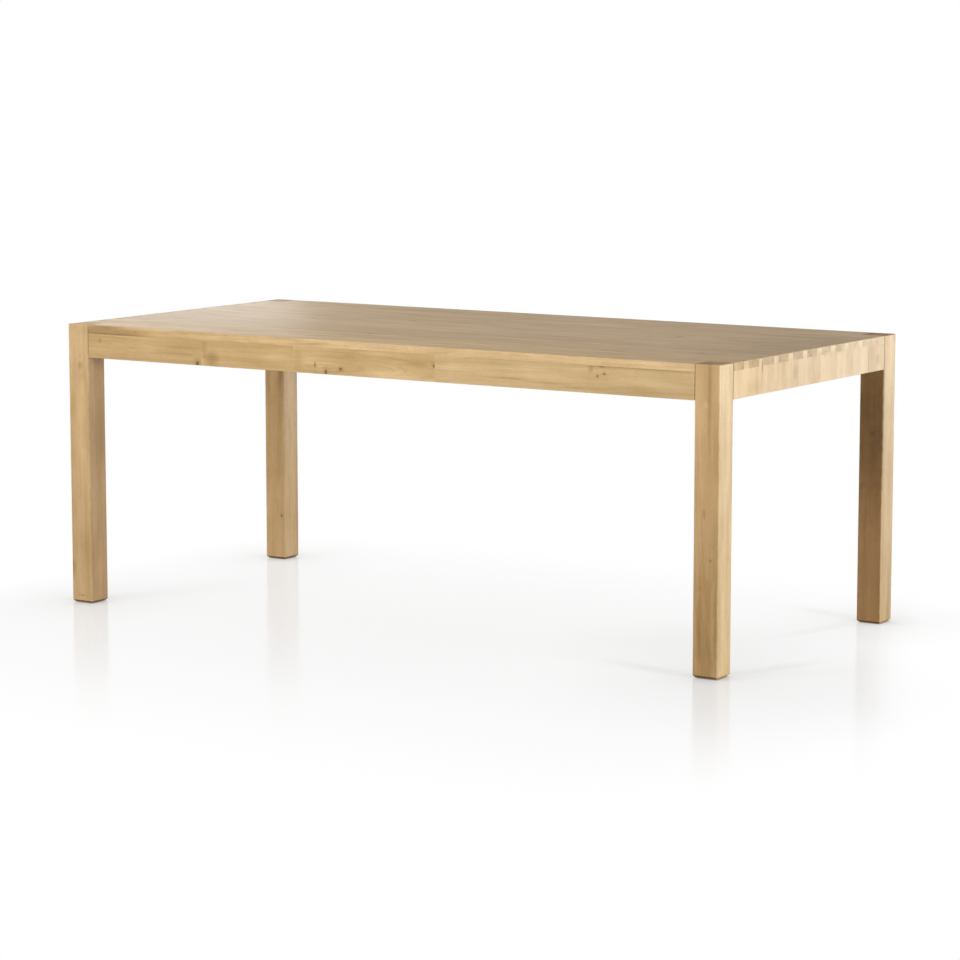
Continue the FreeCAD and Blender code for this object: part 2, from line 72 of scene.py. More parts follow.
# Oiled oak and bare beech: the colours of their early and late wood, and of what marks them
PALE_OAK = (0.690, 0.485, 0.255)
DARK_OAK = (0.480, 0.315, 0.138)
PALE_BEECH = (0.640, 0.450, 0.290)
DARK_BEECH = (0.500, 0.320, 0.180)
KNOT_WOOD = (0.140, 0.070, 0.028, 1.0)
PORE_WOOD = (0.220, 0.140, 0.070, 1.0)
WORN_WOOD = (0.800, 0.620, 0.380, 1.0)
SEAM_WOOD = (0.150, 0.090, 0.042, 1.0)
BLACK = (0.0, 0.0, 0.0, 1.0)
WHITE = (1.0, 1.0, 1.0, 1.0)

# Tints of the wood. The sole and lower arris tints are painted shade on the faces that look down, and the
# lit chamfer tint is painted light on the right legs' chamfers that look to the right
NO_TINT = (1.0, 1.0, 1.0)
END_GRAIN = (0.80, 0.78, 0.76)
STAVE_END = (0.90, 0.89, 0.88)
PAINTED_SHADE_SOLE = (0.40, 0.31, 0.23)
PAINTED_SHADE_UNDERSIDE = (0.70, 0.66, 0.60)
LIT_CHAMFER = (1.10, 0.98, 0.84)

# Figure of the wood, in repeats per metre along and across the log
RING_BENDS = (2.2, 9.0, 9.0)
BROAD_STREAKS = (2.2, 42.0, 42.0)
NARROW_STREAKS = (5.0, 170.0, 170.0)
FIBRES = (9.0, 750.0, 750.0)
PATCHES = (1.7, 15.0, 15.0)
CLOUDS = (9.0, 24.0, 24.0)
FLECKS = (8.0, 52.0, 52.0)
PORES = (42.0, 1300.0, 1300.0)
FIBRE_SHARE = 0.10
FIGURE = ("Ring", "Streak", "Mottle", "Fleck", "Pore")
KNOT_MARKS = ("Core", "Halo", "Swirl")
LOOKS = {"Color": "Color", "Roughness": "Float", "Height": "Float"}

# One growth ring: its tone at both ends, and the places and tones of the wood between them
RING_END_TONE = 0.18
RING_TONES = ((0.45, 0.30), (0.80, 0.95), (0.90, 1.0))

# Edges and patches of the marks, in repeats per metre, and in metres the height of wood and of finer grain
KNOT_EDGE = (300.0, 300.0, 300.0)
STAIN_EDGE = (60.0, 60.0, 60.0)
WORN_PATCHES = (45.0, 45.0, 45.0)
OPEN_SEAMS = (6.0, 6.0, 6.0)
ZINC_CRYSTALS = 650.0
ZINC_CLOUDS = (70.0, 70.0, 70.0)
ZINC_SCRATCHES = (260.0, 260.0, 3400.0)
NYLON_GRAIN = (1500.0, 1500.0, 1500.0)
NYLON_SCUFFS = (90.0, 90.0, 260.0)
WOOD_HEIGHT = 0.0004
FINE_HEIGHT = 0.0001

# Lines along edges, in metres: how far from the edge each starts to fade and is gone
ARRIS_BAND = (0.0005, 0.0055)
SEAM_LINE = (0.0002, 0.0012)
FINGER_LINE = (0.0002, 0.0013)

# How far each grain direction is turned to lie along the log, which is drawn along X
ALONG_LOG = {"x": (0.0, 0.0, 0.0), "y": (0.0, 0.0, -math.pi / 2), "z": (0.0, math.pi / 2, 0.0)}
AXES = {"x": Vector((1.0, 0.0, 0.0)), "y": Vector((0.0, 1.0, 0.0)), "z": Vector((0.0, 0.0, 1.0))}
SIDES = ("x-", "x+", "y-", "y+", "z-", "z+")

# Zinc plate, clean and clouded, and nylon, clean and scuffed
BRIGHT_ZINC = ((0.70, 0.71, 0.71), (0.46, 0.47, 0.47))
DULL_ZINC = ((0.50, 0.50, 0.49), (0.30, 0.30, 0.29))
CLEAN_NYLON = (0.018, 0.018, 0.019, 1.0)
SCUFFED_NYLON = (0.050, 0.049, 0.048, 1.0)

# Fasteners, where the frame doesn't give their sizes, in metres, and the columns of each thread's mesh
MACHINE_THREAD = {"Pitch": 0.00125, "Depth": 0.00068, "Taper": 0.00068, "Columns": 25}
WOOD_THREAD = {"Pitch": 0.0028, "Depth": 0.0011, "Taper": 0.008, "Columns": 21}
SCREW_THREAD = {"Pitch": 0.0018, "Depth": 0.0006, "Taper": 0.004, "Columns": 13}
BOLT_IN_LEG = 0.045
SCREW_HEAD_HEIGHT = 0.0024
RECESS = {"Recess Length": 0.0046, "Recess Width": 0.0009, "Recess Depth": 0.0013}
FOOT = {
    "Boss Radius": 0.005, "Lip": 0.0006, "Boss Height": 0.0017, "Hexagon Height": 0.004, "Stud Radius": 0.004,
}

# Their finish: sides of a round and of a small round, the turned face of a hexagon against its width across
# flats, the slope of its corners, the dome of a head against its radius, and the angle of a sharp edge
ROUND_SIDES = 48
SMALL_ROUND_SIDES = 32
TURNED_FACE = 0.48
CORNER_SLOPE = math.radians(30)
DOME = 2.2
SHARP_EDGE = math.radians(25)

# Soft boxes: where each stands, what it aims at, its size and its watts
SOFT_BOXES = {
    "far_front_box": ((-2.6, -4.6, 4.2), (0.0, -0.3, 0.5), (1.2, 1.2), 76.0),
    "left_front_box": ((-1.8, -3.2, 2.8), (0.0, -0.3, 0.6), (1.8, 1.4), 63.0),
    "front_box": ((0.6, -3.0, 2.2), (0.2, -0.4, 0.6), (2.4, 1.2), 28.0),
    "right_box": ((5.9, -1.0, 1.15), (0.5, 0.0, 0.5), (1.5, 1.3), 198.0),
    "low_back_box": ((2.0, 4.2, 0.5), (1.0, 0.0, 0.6), (3.4, 1.0), 80.0),
    "left_end_box": ((-2.05, 0.95, 1.03), (-0.9, -0.1, 0.76), (1.3, 0.6), 7.5),
}
ROOM_LIGHT = 0.02

# Floor, in metres: half its width, the middle and spread of the table's shade, and the way to its lit side
FLOOR_REACH = 40.0
SHADE_MIDDLE = (0.15, -0.45, 0.0)
SHADE_SPREAD = (1.48, 1.35, 1.0)
LIT_SIDE = (0.91, 0.42, 0.0)

# Its tones, how far the shade near a piece and that of a touching one reach, and how it mirrors each leg
FLOOR_WHITE = (0.80, 0.80, 0.80, 1.0)
FLOOR_SHADED = (0.13, 0.13, 0.13, 1.0)
SHADE_LEVEL = 0.835
NEAR_TONE = (0.46, 0.43, 0.39, 1.0)
NEAR_REACH = 0.35
TOUCHING_TONE = (0.22, 0.18, 0.14, 1.0)
TOUCHING_REACH = 0.006
MIRROR_ROUGHNESS = 0.12
MIRROR_DEPTH = 0.18
MIRROR_REACH = {"front_left": 1.7, "front_right": 1.3, "back_left": 2.1, "back_right": 0.6}

# Deeper shade under the right end and along the legs' shadows: its middle, reach, turn in degrees and depth
FLOOR_SHADE = (
    ((0.72, -0.12), (0.45, 0.45), 0.0, 0.08), ((1.12, -0.56), (0.62, 0.62), 0.0, 0.045),
    ((0.79, -0.432), (0.22, 0.05), -14.0, 0.09), ((1.05, -0.245), (0.22, 0.05), 70.0, 0.08),
    ((0.80, 0.49), (0.17, 0.05), -14.0, 0.06), ((0.893, 0.249), (0.22, 0.05), 76.0, 0.06),
)

# Camera: its place and sight in metres, its turn in degrees, and its lens and sensor in millimetres
CAMERA_PLACE = (4.703, -7.228, 1.556)
CAMERA_TURN = (82.07, 0.0, 32.966)
CAMERA_LENS = 122.35
CAMERA_SENSOR = 36.0
CAMERA_SIGHT = 200.0


def put(tree, kind, inputs=None, **settings):
    """Adds a node, with its settings and with its inputs linked or filled in."""
    node = tree.nodes.new(kind)
    for name, value in settings.items():
        setattr(node, name, value)
    for key, value in (inputs or {}).items():
        if isinstance(value, bpy.types.NodeSocket):
            tree.links.new(value, node.inputs[key])
        else:
            node.inputs[key].default_value = value
    return node


def calc(tree, operation, *values, clamp=False):
    node = put(tree, "ShaderNodeMath", dict(enumerate(values)), operation=operation, use_clamp=clamp)
    return node.outputs[0]


def calc_vector(tree, operation, *values):
    node = put(tree, "ShaderNodeVectorMath", dict(enumerate(values)), operation=operation)
    return node.outputs["Value" if operation in ("LENGTH", "DOT_PRODUCT") else "Vector"]


def split(tree, vector):
    return put(tree, "ShaderNodeSeparateXYZ", {0: vector}).outputs


def combine(tree, **parts):
    return put(tree, "ShaderNodeCombineXYZ", parts).outputs[0]


def step(tree, value, start, stop, low=0.0, high=1.0):
    """A smooth step from low at start to high at stop."""
    ends = {"Value": value, "From Min": start, "From Max": stop, "To Min": low, "To Max": high}
    return put(tree, "ShaderNodeMapRange", ends, interpolation_type="SMOOTHSTEP").outputs["Result"]


def noise(tree, place, stretch, detail=2.0, roughness=0.5):
    """A noise node whose features have the size of one over the stretch."""
    inputs = {"Vector": calc_vector(tree, "MULTIPLY", place, stretch), "Scale": 1.0, "Detail": detail}
    return put(tree, "ShaderNodeTexNoise", {**inputs, "Roughness": roughness}, noise_dimensions="3D").outputs


def noise_along(tree, value, scale):
    """Noise that follows one value."""
    inputs = {"W": value, "Scale": scale, "Detail": 1.0}
    return put(tree, "ShaderNodeTexNoise", inputs, noise_dimensions="1D").outputs["Fac"]


def mix(tree, amount, first, second, blend="MIX", clamp=True):
    """Two colours mixed. The colour sockets share their names with others, so they go by number."""
    pair = {"Factor": amount, 6: first, 7: second}
    node = put(tree, "ShaderNodeMix", pair, data_type="RGBA", blend_type=blend, clamp_factor=clamp)
    return node.outputs[2]


def off_middle(tree, value, amount):
    """How far a value lies from a half, times an amount."""
    return calc(tree, "MULTIPLY", calc(tree, "SUBTRACT", value, 0.5), amount)


def add_shares(tree, total, given, shares):
    """Adds a share of each named value to a total."""
    for name, share in shares.items():
        total = calc(tree, "MULTIPLY_ADD", given[name], share, total)
    return total


def object_place(tree):
    return tree.nodes.new("ShaderNodeTexCoord").outputs["Object"]


def floats(*names):
    return dict.fromkeys(names, "Float")


def vectors(*names):
    return dict.fromkeys(names, "Vector")


def colors(*names):
    return dict.fromkeys(names, "Color")


def new_group(name, inputs, outputs, kind="ShaderNodeTree"):
    """A node group. Returns its tree, its given values by name and the node that takes its results."""
    tree = bpy.data.node_groups.new(name, kind)
    for in_out, sockets in (("INPUT", inputs), ("OUTPUT", outputs)):
        for socket, socket_kind in sockets.items():
            tree.interface.new_socket(socket, in_out=in_out, socket_type=f"NodeSocket{socket_kind}")
    return tree, tree.nodes.new("NodeGroupInput").outputs, tree.nodes.new("NodeGroupOutput")


def finish_group(tree, results, **values):
    for name, socket in values.items():
        tree.links.new(socket, results.inputs[name])
    return tree


def use_group(tree, group, inputs):
    """Places a node group in a tree, with its own values."""
    return put(tree, tree.bl_idname.replace("Tree", "Group"), inputs, node_tree=group).outputs


def make_growth():
    """The figure of a log along X: growth rings, long streaks, broad mottling, flecks and pores."""
    sizes = floats("Ring Width", "Wander", "Swirl", "Breadth")
    tree, given, results = new_group("wood_growth", {"Log": "Vector", **sizes}, floats(*FIGURE))
    log = given["Log"]
    bends = calc_vector(tree, "SUBTRACT", noise(tree, log, RING_BENDS)["Color"], (0.5, 0.5, 0.5))
    wander = put(tree, "ShaderNodeVectorMath", {0: bends, "Scale": given["Wander"]}, operation="SCALE")
    moved = calc_vector(tree, "ADD", log, wander.outputs["Vector"])
    radius = calc_vector(tree, "LENGTH", calc_vector(tree, "MULTIPLY", moved, (0.0, 1.0, 1.0)))
    rings = calc(tree, "DIVIDE", calc(tree, "ADD", radius, given["Swirl"]), given["Ring Width"])
    rings = calc(tree, "ADD", rings, calc(tree, "MULTIPLY", noise_along(tree, rings, 0.37), 3.2))
    profile = put(tree, "ShaderNodeValToRGB", {"Fac": calc(tree, "FRACT", rings)})
    profile.color_ramp.interpolation = "EASE"
    tones = profile.color_ramp.elements
    tones[0].color = tones[1].color = (RING_END_TONE, RING_END_TONE, RING_END_TONE, 1.0)
    for position, tone in RING_TONES:
        tones.new(position).color = (tone, tone, tone, 1.0)
    clearness = step(tree, noise_along(tree, rings, 0.13), 0.32, 0.68, 0.1, 1.0)
    ring = calc(tree, "MULTIPLY_ADD", off_middle(tree, profile.outputs["Color"], 1.0), clearness, 0.5)
    broad = noise(tree, moved, BROAD_STREAKS, detail=3.0)["Fac"]
    narrow = noise(tree, moved, NARROW_STREAKS, detail=3.0)["Fac"]
    narrow_share = calc(tree, "SUBTRACT", 1.0 - FIBRE_SHARE, given["Breadth"])
    fibres = calc(tree, "MULTIPLY", noise(tree, log, FIBRES)["Fac"], FIBRE_SHARE)
    streak = calc(tree, "MULTIPLY_ADD", narrow, narrow_share, fibres)
    streak = calc(tree, "MULTIPLY_ADD", broad, given["Breadth"], streak)
    clouds = calc(tree, "MULTIPLY", noise(tree, log, CLOUDS)["Fac"], 0.4)
    mottle = calc(tree, "MULTIPLY_ADD", noise(tree, log, PATCHES)["Fac"], 0.6, clouds)
    flecks = noise(tree, moved, FLECKS, detail=3.0)["Fac"]
    pale_flecks = step(tree, flecks, 0.30, 0.44, 0.6, 0.0)
    fleck = calc(tree, "SUBTRACT", step(tree, flecks, 0.56, 0.70), pale_flecks)
    pore = step(tree, noise(tree, log, PORES, detail=1.0)["Fac"], 0.60, 0.70)
    return finish_group(tree, results, Ring=ring, Streak=streak, Mottle=mottle, Fleck=fleck, Pore=pore)


def distance_from(tree, given, ragged, amount):
    """How many times its reach a point lies from the centre of a mark, with a ragged edge."""
    away = calc_vector(tree, "SUBTRACT", given["Place"], given["Centre"])
    away = calc_vector(tree, "LENGTH", calc_vector(tree, "DIVIDE", away, given["Reach"]))
    return calc(tree, "ADD", away, off_middle(tree, noise(tree, given["Place"], ragged)["Fac"], amount))


def make_knot():
    """Adds one knot to those already drawn: its dark core, the halo round it and the bend of the rings."""
    tree, given, results = new_group(
        "wood_knot", {**vectors("Place", "Centre", "Reach"), **floats(*KNOT_MARKS)}, floats(*KNOT_MARKS)
    )
    away = distance_from(tree, given, KNOT_EDGE, 0.7)
    core = calc(tree, "MAXIMUM", given["Core"], step(tree, away, 0.45, 1.1, 1.0, 0.0))
    halo = calc(tree, "MAXIMUM", given["Halo"], step(tree, away, 0.6, 3.2, 1.0, 0.0))
    swirl = calc(tree, "ADD", given["Swirl"], step(tree, away, 0.0, 6.0, 0.0025, 0.0))
    return finish_group(tree, results, Core=core, Halo=halo, Swirl=swirl)


def make_stain_and_shading():
    """Adds one soft dark or, with a negative depth, pale patch to those already drawn: staining in the wood,
    and in places painted light and shade.
    """
    tree, given, results = new_group(
        "wood_stain_and_shading", {**vectors("Place", "Centre", "Reach"), **floats("Depth", "Stain")}, floats("Stain")
    )
    away = distance_from(tree, given, STAIN_EDGE, 0.4)
    patch = calc(tree, "MULTIPLY", step(tree, away, 0.1, 1.1, 1.0, 0.0), given["Depth"])
    return finish_group(tree, results, Stain=calc(tree, "ADD", given["Stain"], patch))


def depth_in_box(tree, given):
    """How far a point lies inside the nearer side of a box, along each axis."""
    from_low = calc_vector(tree, "SUBTRACT", given["Place"], given["Low"])
    to_high = calc_vector(tree, "SUBTRACT", given["High"], given["Place"])
    return calc_vector(tree, "MINIMUM", from_low, to_high)


def make_arris():
    """The worn band along the edges of a box-shaped piece."""
    tree, given, results = new_group("worn_arris", vectors("Place", "Low", "High"), floats("Worn"))
    depth = split(tree, depth_in_box(tree, given))
    least = calc(tree, "MINIMUM", depth["X"], depth["Y"])
    most = calc(tree, "MAXIMUM", depth["X"], depth["Y"])
    edge = calc(tree, "MAXIMUM", least, calc(tree, "MINIMUM", most, depth["Z"]))
    patchy = step(tree, noise(tree, given["Place"], WORN_PATCHES, detail=3.0)["Fac"], 0.35, 0.65)
    worn = calc(tree, "MULTIPLY", step(tree, edge, *ARRIS_BAND, 1.0, 0.0), patchy)
    return finish_group(tree, results, Worn=worn)


def make_seam():
    """The thin dark lines where the faces of a piece meet its glued sides."""
    tree, given, results = new_group("glue_seam", vectors("Place", "Normal", "Low", "High"), floats("Seam"))
    facing = calc_vector(tree, "ADD", calc_vector(tree, "ABSOLUTE", given["Normal"]), (0.3, 0.3, 0.3))
    facing = calc_vector(tree, "FLOOR", facing)
    depth = split(tree, calc_vector(tree, "ADD", depth_in_box(tree, given), facing))
    edge = calc(tree, "MINIMUM", depth["X"], calc(tree, "MINIMUM", depth["Y"], depth["Z"]))
    openness = step(tree, noise(tree, given["Place"], OPEN_SEAMS)["Fac"], 0.35, 0.65, 0.2, 1.0)
    seam = calc(tree, "MULTIPLY", step(tree, edge, *SEAM_LINE, 1.0, 0.0), openness)
    return finish_group(tree, results, Seam=seam)


def make_fingers():
    """The outline of the box joint's fingers on the end of the table."""
    tree, given, results = new_group("finger_outline", vectors("Place"), floats("Seam"))
    along = calc(tree, "SUBTRACT", split(tree, given["Place"])["Y"], FINGER_START)
    along = calc(tree, "WRAP", along, FINGER_WIDTH + PIN_WIDTH, 0.0)
    to_pin = calc(tree, "ABSOLUTE", calc(tree, "SUBTRACT", along, FINGER_WIDTH))
    seam = step(tree, calc(tree, "MINIMUM", along, to_pin), *FINGER_LINE, 1.0, 0.0)
    return finish_group(tree, results, Seam=seam)


def make_timber():
    """Colour, roughness and height of oiled wood from its figure, knots, staining and painted light and
    shade, seams and edges.
    """
    marks = floats("Core", "Halo", "Stain", "End", "Worn", "Seam")
    depths = floats("Figure", "Streak Depth", "Fleck Depth")
    tints = colors("Pale", "Dark", "Tint", "End Tint")
    tree, given, results = new_group("oiled_timber", {**floats(*FIGURE), **marks, **depths, **tints}, LOOKS)
    shade = calc(tree, "MULTIPLY_ADD", off_middle(tree, given["Ring"], 1.0), given["Figure"], 0.47)
    shade = calc(tree, "ADD", shade, off_middle(tree, given["Streak"], given["Streak Depth"]))
    shade = calc(tree, "ADD", shade, off_middle(tree, given["Mottle"], 2.0))
    shade = add_shares(tree, shade, given, {"Fleck": given["Fleck Depth"], "Halo": 0.45})
    shade = calc(tree, "ADD", shade, given["Stain"])
    deep = calc(tree, "MAXIMUM", calc(tree, "SUBTRACT", shade, 1.0), 0.0)
    color = mix(tree, calc(tree, "MINIMUM", shade, 1.0), given["Pale"], given["Dark"], clamp=False)
    color = mix(tree, calc(tree, "MULTIPLY", deep, 0.38), color, BLACK)
    color = mix(tree, 1.0, color, given["Tint"], blend="MULTIPLY")
    color = mix(tree, calc(tree, "MULTIPLY", given["Pore"], 0.30), color, PORE_WOOD)
    color = mix(tree, given["End"], color, mix(tree, 1.0, color, given["End Tint"], blend="MULTIPLY"))
    covering = (("Worn", 0.16, WORN_WOOD), ("Seam", 0.60, SEAM_WOOD), ("Core", 0.85, KNOT_WOOD))
    for mark, share, mark_color in covering:
        color = mix(tree, calc(tree, "MULTIPLY", given[mark], share), color, mark_color)
    roughness = add_shares(tree, 0.46, given, {"Streak": 0.08, "End": 0.14, "Pore": 0.08})
    height = calc(tree, "MULTIPLY", given["Ring"], 0.25)
    height = add_shares(tree, height, given, {"Streak": 0.5, "Pore": -0.6, "Seam": -1.2, "Core": -0.4})
    return finish_group(tree, results, Color=color, Roughness=roughness, Height=height)


def make_plating():
    """Zinc on steel: bright crystals, dull clouds, handling marks and fine scratches."""
    tree, given, results = new_group("zinc_plating", {"Place": "Vector", **colors("Bright", "Dull")}, LOOKS)
    place = given["Place"]
    crystals = put(tree, "ShaderNodeTexVoronoi", {"Vector": place, "Scale": ZINC_CRYSTALS}).outputs["Color"]
    crystals = put(tree, "ShaderNodeSeparateColor", {0: crystals}).outputs["Red"]
    clouds = step(tree, noise(tree, place, ZINC_CLOUDS, detail=3.0)["Fac"], 0.38, 0.68, 0.0, 0.75)
    scratches = noise(tree, place, ZINC_SCRATCHES)["Fac"]
    dull = calc(tree, "MULTIPLY_ADD", crystals, 0.25, clouds)
    roughness = calc(tree, "MULTIPLY_ADD", dull, 0.22, 0.26)
    roughness = calc(tree, "MULTIPLY_ADD", scratches, 0.10, roughness)
    height = calc(tree, "MULTIPLY_ADD", crystals, 0.3, calc(tree, "MULTIPLY", scratches, 0.7))
    color = mix(tree, dull, given["Bright"], given["Dull"])
    return finish_group(tree, results, Color=color, Roughness=roughness, Height=height)


GROWTH, KNOT, STAIN_AND_SHADING, ARRIS = make_growth(), make_knot(), make_stain_and_shading(), make_arris()
SEAM, FINGERS, TIMBER, PLATING = make_seam(), make_fingers(), make_timber(), make_plating()


def empty_material(name):
    material = bpy.data.materials.new(name)
    material.use_nodes = True
    material.node_tree.nodes.clear()
    return material, material.node_tree


def new_material(name):
    """A material with its Principled shader."""
    material, tree = empty_material(name)
    shader = tree.nodes.new("ShaderNodeBsdfPrincipled")
    put(tree, "ShaderNodeOutputMaterial", {"Surface": shader.outputs["BSDF"]})
    return material, tree, shader


def finish_material(tree, shader, looks, bump_strength, bump_distance):
    """Links a group's colour, roughness and height to the shader."""
    bump = {"Strength": bump_strength, "Distance": bump_distance, "Height": looks["Height"]}
    normal = put(tree, "ShaderNodeBump", bump).outputs["Normal"]
    tree.links.new(looks["Color"], shader.inputs["Base Color"])
    tree.links.new(looks["Roughness"], shader.inputs["Roughness"])
    tree.links.new(normal, shader.inputs["Normal"])


def cover(node, material):
    NODES[node].data.materials.clear()
    NODES[node].data.materials.append(material)


def box_without(low, high, sides):
    """A piece's box with some of its sides moved out of reach, so that they leave no mark."""
    near, far = low.copy(), high.copy()
    for index, axis in enumerate("xyz"):
        if axis + "-" in sides:
            near[index] -= 1.0
        if axis + "+" in sides:
            far[index] += 1.0
    return {"Low": near, "High": far}


def face_tint(tree, normal, tint, side_tint, under_shade_tint, under_side_tint):
    """The tint of each face: of the piece, of its faces along X, of those that look down, and of both.
    Besides tone, these paint light and shade: the faces along X lit or shaded apart from the rest, the faces
    that look down painted darker as shade, and painted lighter where they also look along X.
    """
    across = calc(tree, "ABSOLUTE", calc_vector(tree, "DOT_PRODUCT", normal, AXES["x"]))
    color = (*tint, 1.0)
    if side_tint:
        color = mix(tree, step(tree, across, 0.3, 0.9), color, (*side_tint, 1.0))
    if under_shade_tint:
        downward = calc_vector(tree, "DOT_PRODUCT", normal, (0.0, 0.0, -1.0))
        under = (*under_shade_tint, 1.0)
        if under_side_tint:
            under = mix(tree, step(tree, across, 0.3, 0.7), under, (*under_side_tint, 1.0))
        color = mix(tree, step(tree, downward, 0.4, 0.65), color, under)
    return color


def wood(node, grain, tint=NO_TINT, side_tint=None, under_shade_tint=None, under_side_tint=None,
         end_tint=END_GRAIN, pale=PALE_OAK, dark=DARK_OAK, heart=(0.05, 0.07), lean=(0.0, 0.0), shift=0.0,
         ring=0.0055, wander=0.022, figure=0.26, streak=2.2, breadth=0.72, fleck=0.08, relief=0.35,
         gloss=0.25, knots=(), stains_and_shading=(), glued=(), seams=(), fingers=False):
    """Wood for one piece: where its middle lay from the heart of the log, how it leaned there, and its marks.
    A knot is a centre and a reach, and a patch, of staining and of painted light and shade alike, has a depth
    too. The edges of its glued sides aren't worn, and its seams are those of the glued sides that show as a
    line."""
    low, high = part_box(node)
    middle = (low + high) / 2
    turn = Euler((0.0, lean[0], lean[1])).to_matrix() @ Euler(ALONG_LOG[grain]).to_matrix()
    material, tree, shader = new_material(f"wood_{node}")
    seat = tree.nodes.new("ShaderNodeTexCoord").outputs
    place, normal = seat["Object"], seat["Normal"]
    start = Vector((shift, *heart)) - turn @ middle
    lying = {"Vector": place, "Location": start, "Rotation": turn.to_euler()}
    log = put(tree, "ShaderNodeMapping", lying).outputs["Vector"]
    knot = dict.fromkeys(KNOT_MARKS, 0.0)
    for centre, reach in knots:
        drawn = {mark: knot[mark] for mark in KNOT_MARKS}
        knot = use_group(tree, KNOT, {"Place": place, "Centre": centre, "Reach": reach, **drawn})
    stain_and_shading, seam = 0.0, 0.0
    for (centre, reach), depth in stains_and_shading:
        patch = {"Place": place, "Centre": centre, "Reach": reach, "Depth": depth, "Stain": stain_and_shading}
        stain_and_shading = use_group(tree, STAIN_AND_SHADING, patch)["Stain"]
    sizes = {"Ring Width": ring, "Wander": wander, "Swirl": knot["Swirl"], "Breadth": breadth}
    growth = use_group(tree, GROWTH, {"Log": log, **sizes})
    end = calc(tree, "ABSOLUTE", calc_vector(tree, "DOT_PRODUCT", normal, AXES[grain]))
    end = step(tree, end, 0.6, 0.9)
    if seams:
        seamed = box_without(low, high, [side for side in SIDES if side not in seams])
        seam = use_group(tree, SEAM, {"Place": place, "Normal": normal, **seamed})["Seam"]
    if fingers:
        outline = calc(tree, "MULTIPLY", use_group(tree, FINGERS, {"Place": place})["Seam"], end)
        seam = calc(tree, "MAXIMUM", seam, outline)
    looks = use_group(tree, TIMBER, {
        **{part: growth[part] for part in FIGURE}, "Core": knot["Core"], "Halo": knot["Halo"], "Stain": stain_and_shading,
        "End": end, "Seam": seam,
        "Worn": use_group(tree, ARRIS, {"Place": place, **box_without(low, high, glued)})["Worn"],
        "Pale": (*pale, 1.0), "Dark": (*dark, 1.0), "End Tint": (*end_tint, 1.0),
        "Tint": face_tint(tree, normal, tint, side_tint, under_shade_tint, under_side_tint),
        "Figure": figure, "Streak Depth": streak, "Fleck Depth": fleck,
    })
    finish_material(tree, shader, looks, relief, WOOD_HEIGHT)
    shader.inputs["Specular IOR Level"].default_value = gloss
    cover(node, material)


def on_front(x, z, wide, tall, deep=0.03, y=FRONT):
    """A mark on a face that looks to the front: its centre and its reach."""
    return Vector((x, y, z)), (wide, deep, tall)


def on_right(y, z, wide, tall, deep=0.02, x=RIGHT):
    """A mark on a face that looks to the right."""
    return Vector((x, y, z)), (deep, wide, tall)


def on_top(x, y, long, wide, deep=0.02):
    return Vector((x, y, TOP)), (long, wide, deep)


def on_back_leg(x, z, wide, tall, deep=0.03):
    return on_front(x, z, wide, tall, deep, BACK_LEG_FRONT)


def on_left_leg(y, z, wide, tall, deep=0.01):
    return on_right(y, z, wide, tall, deep, LEFT_LEG_RIGHT)


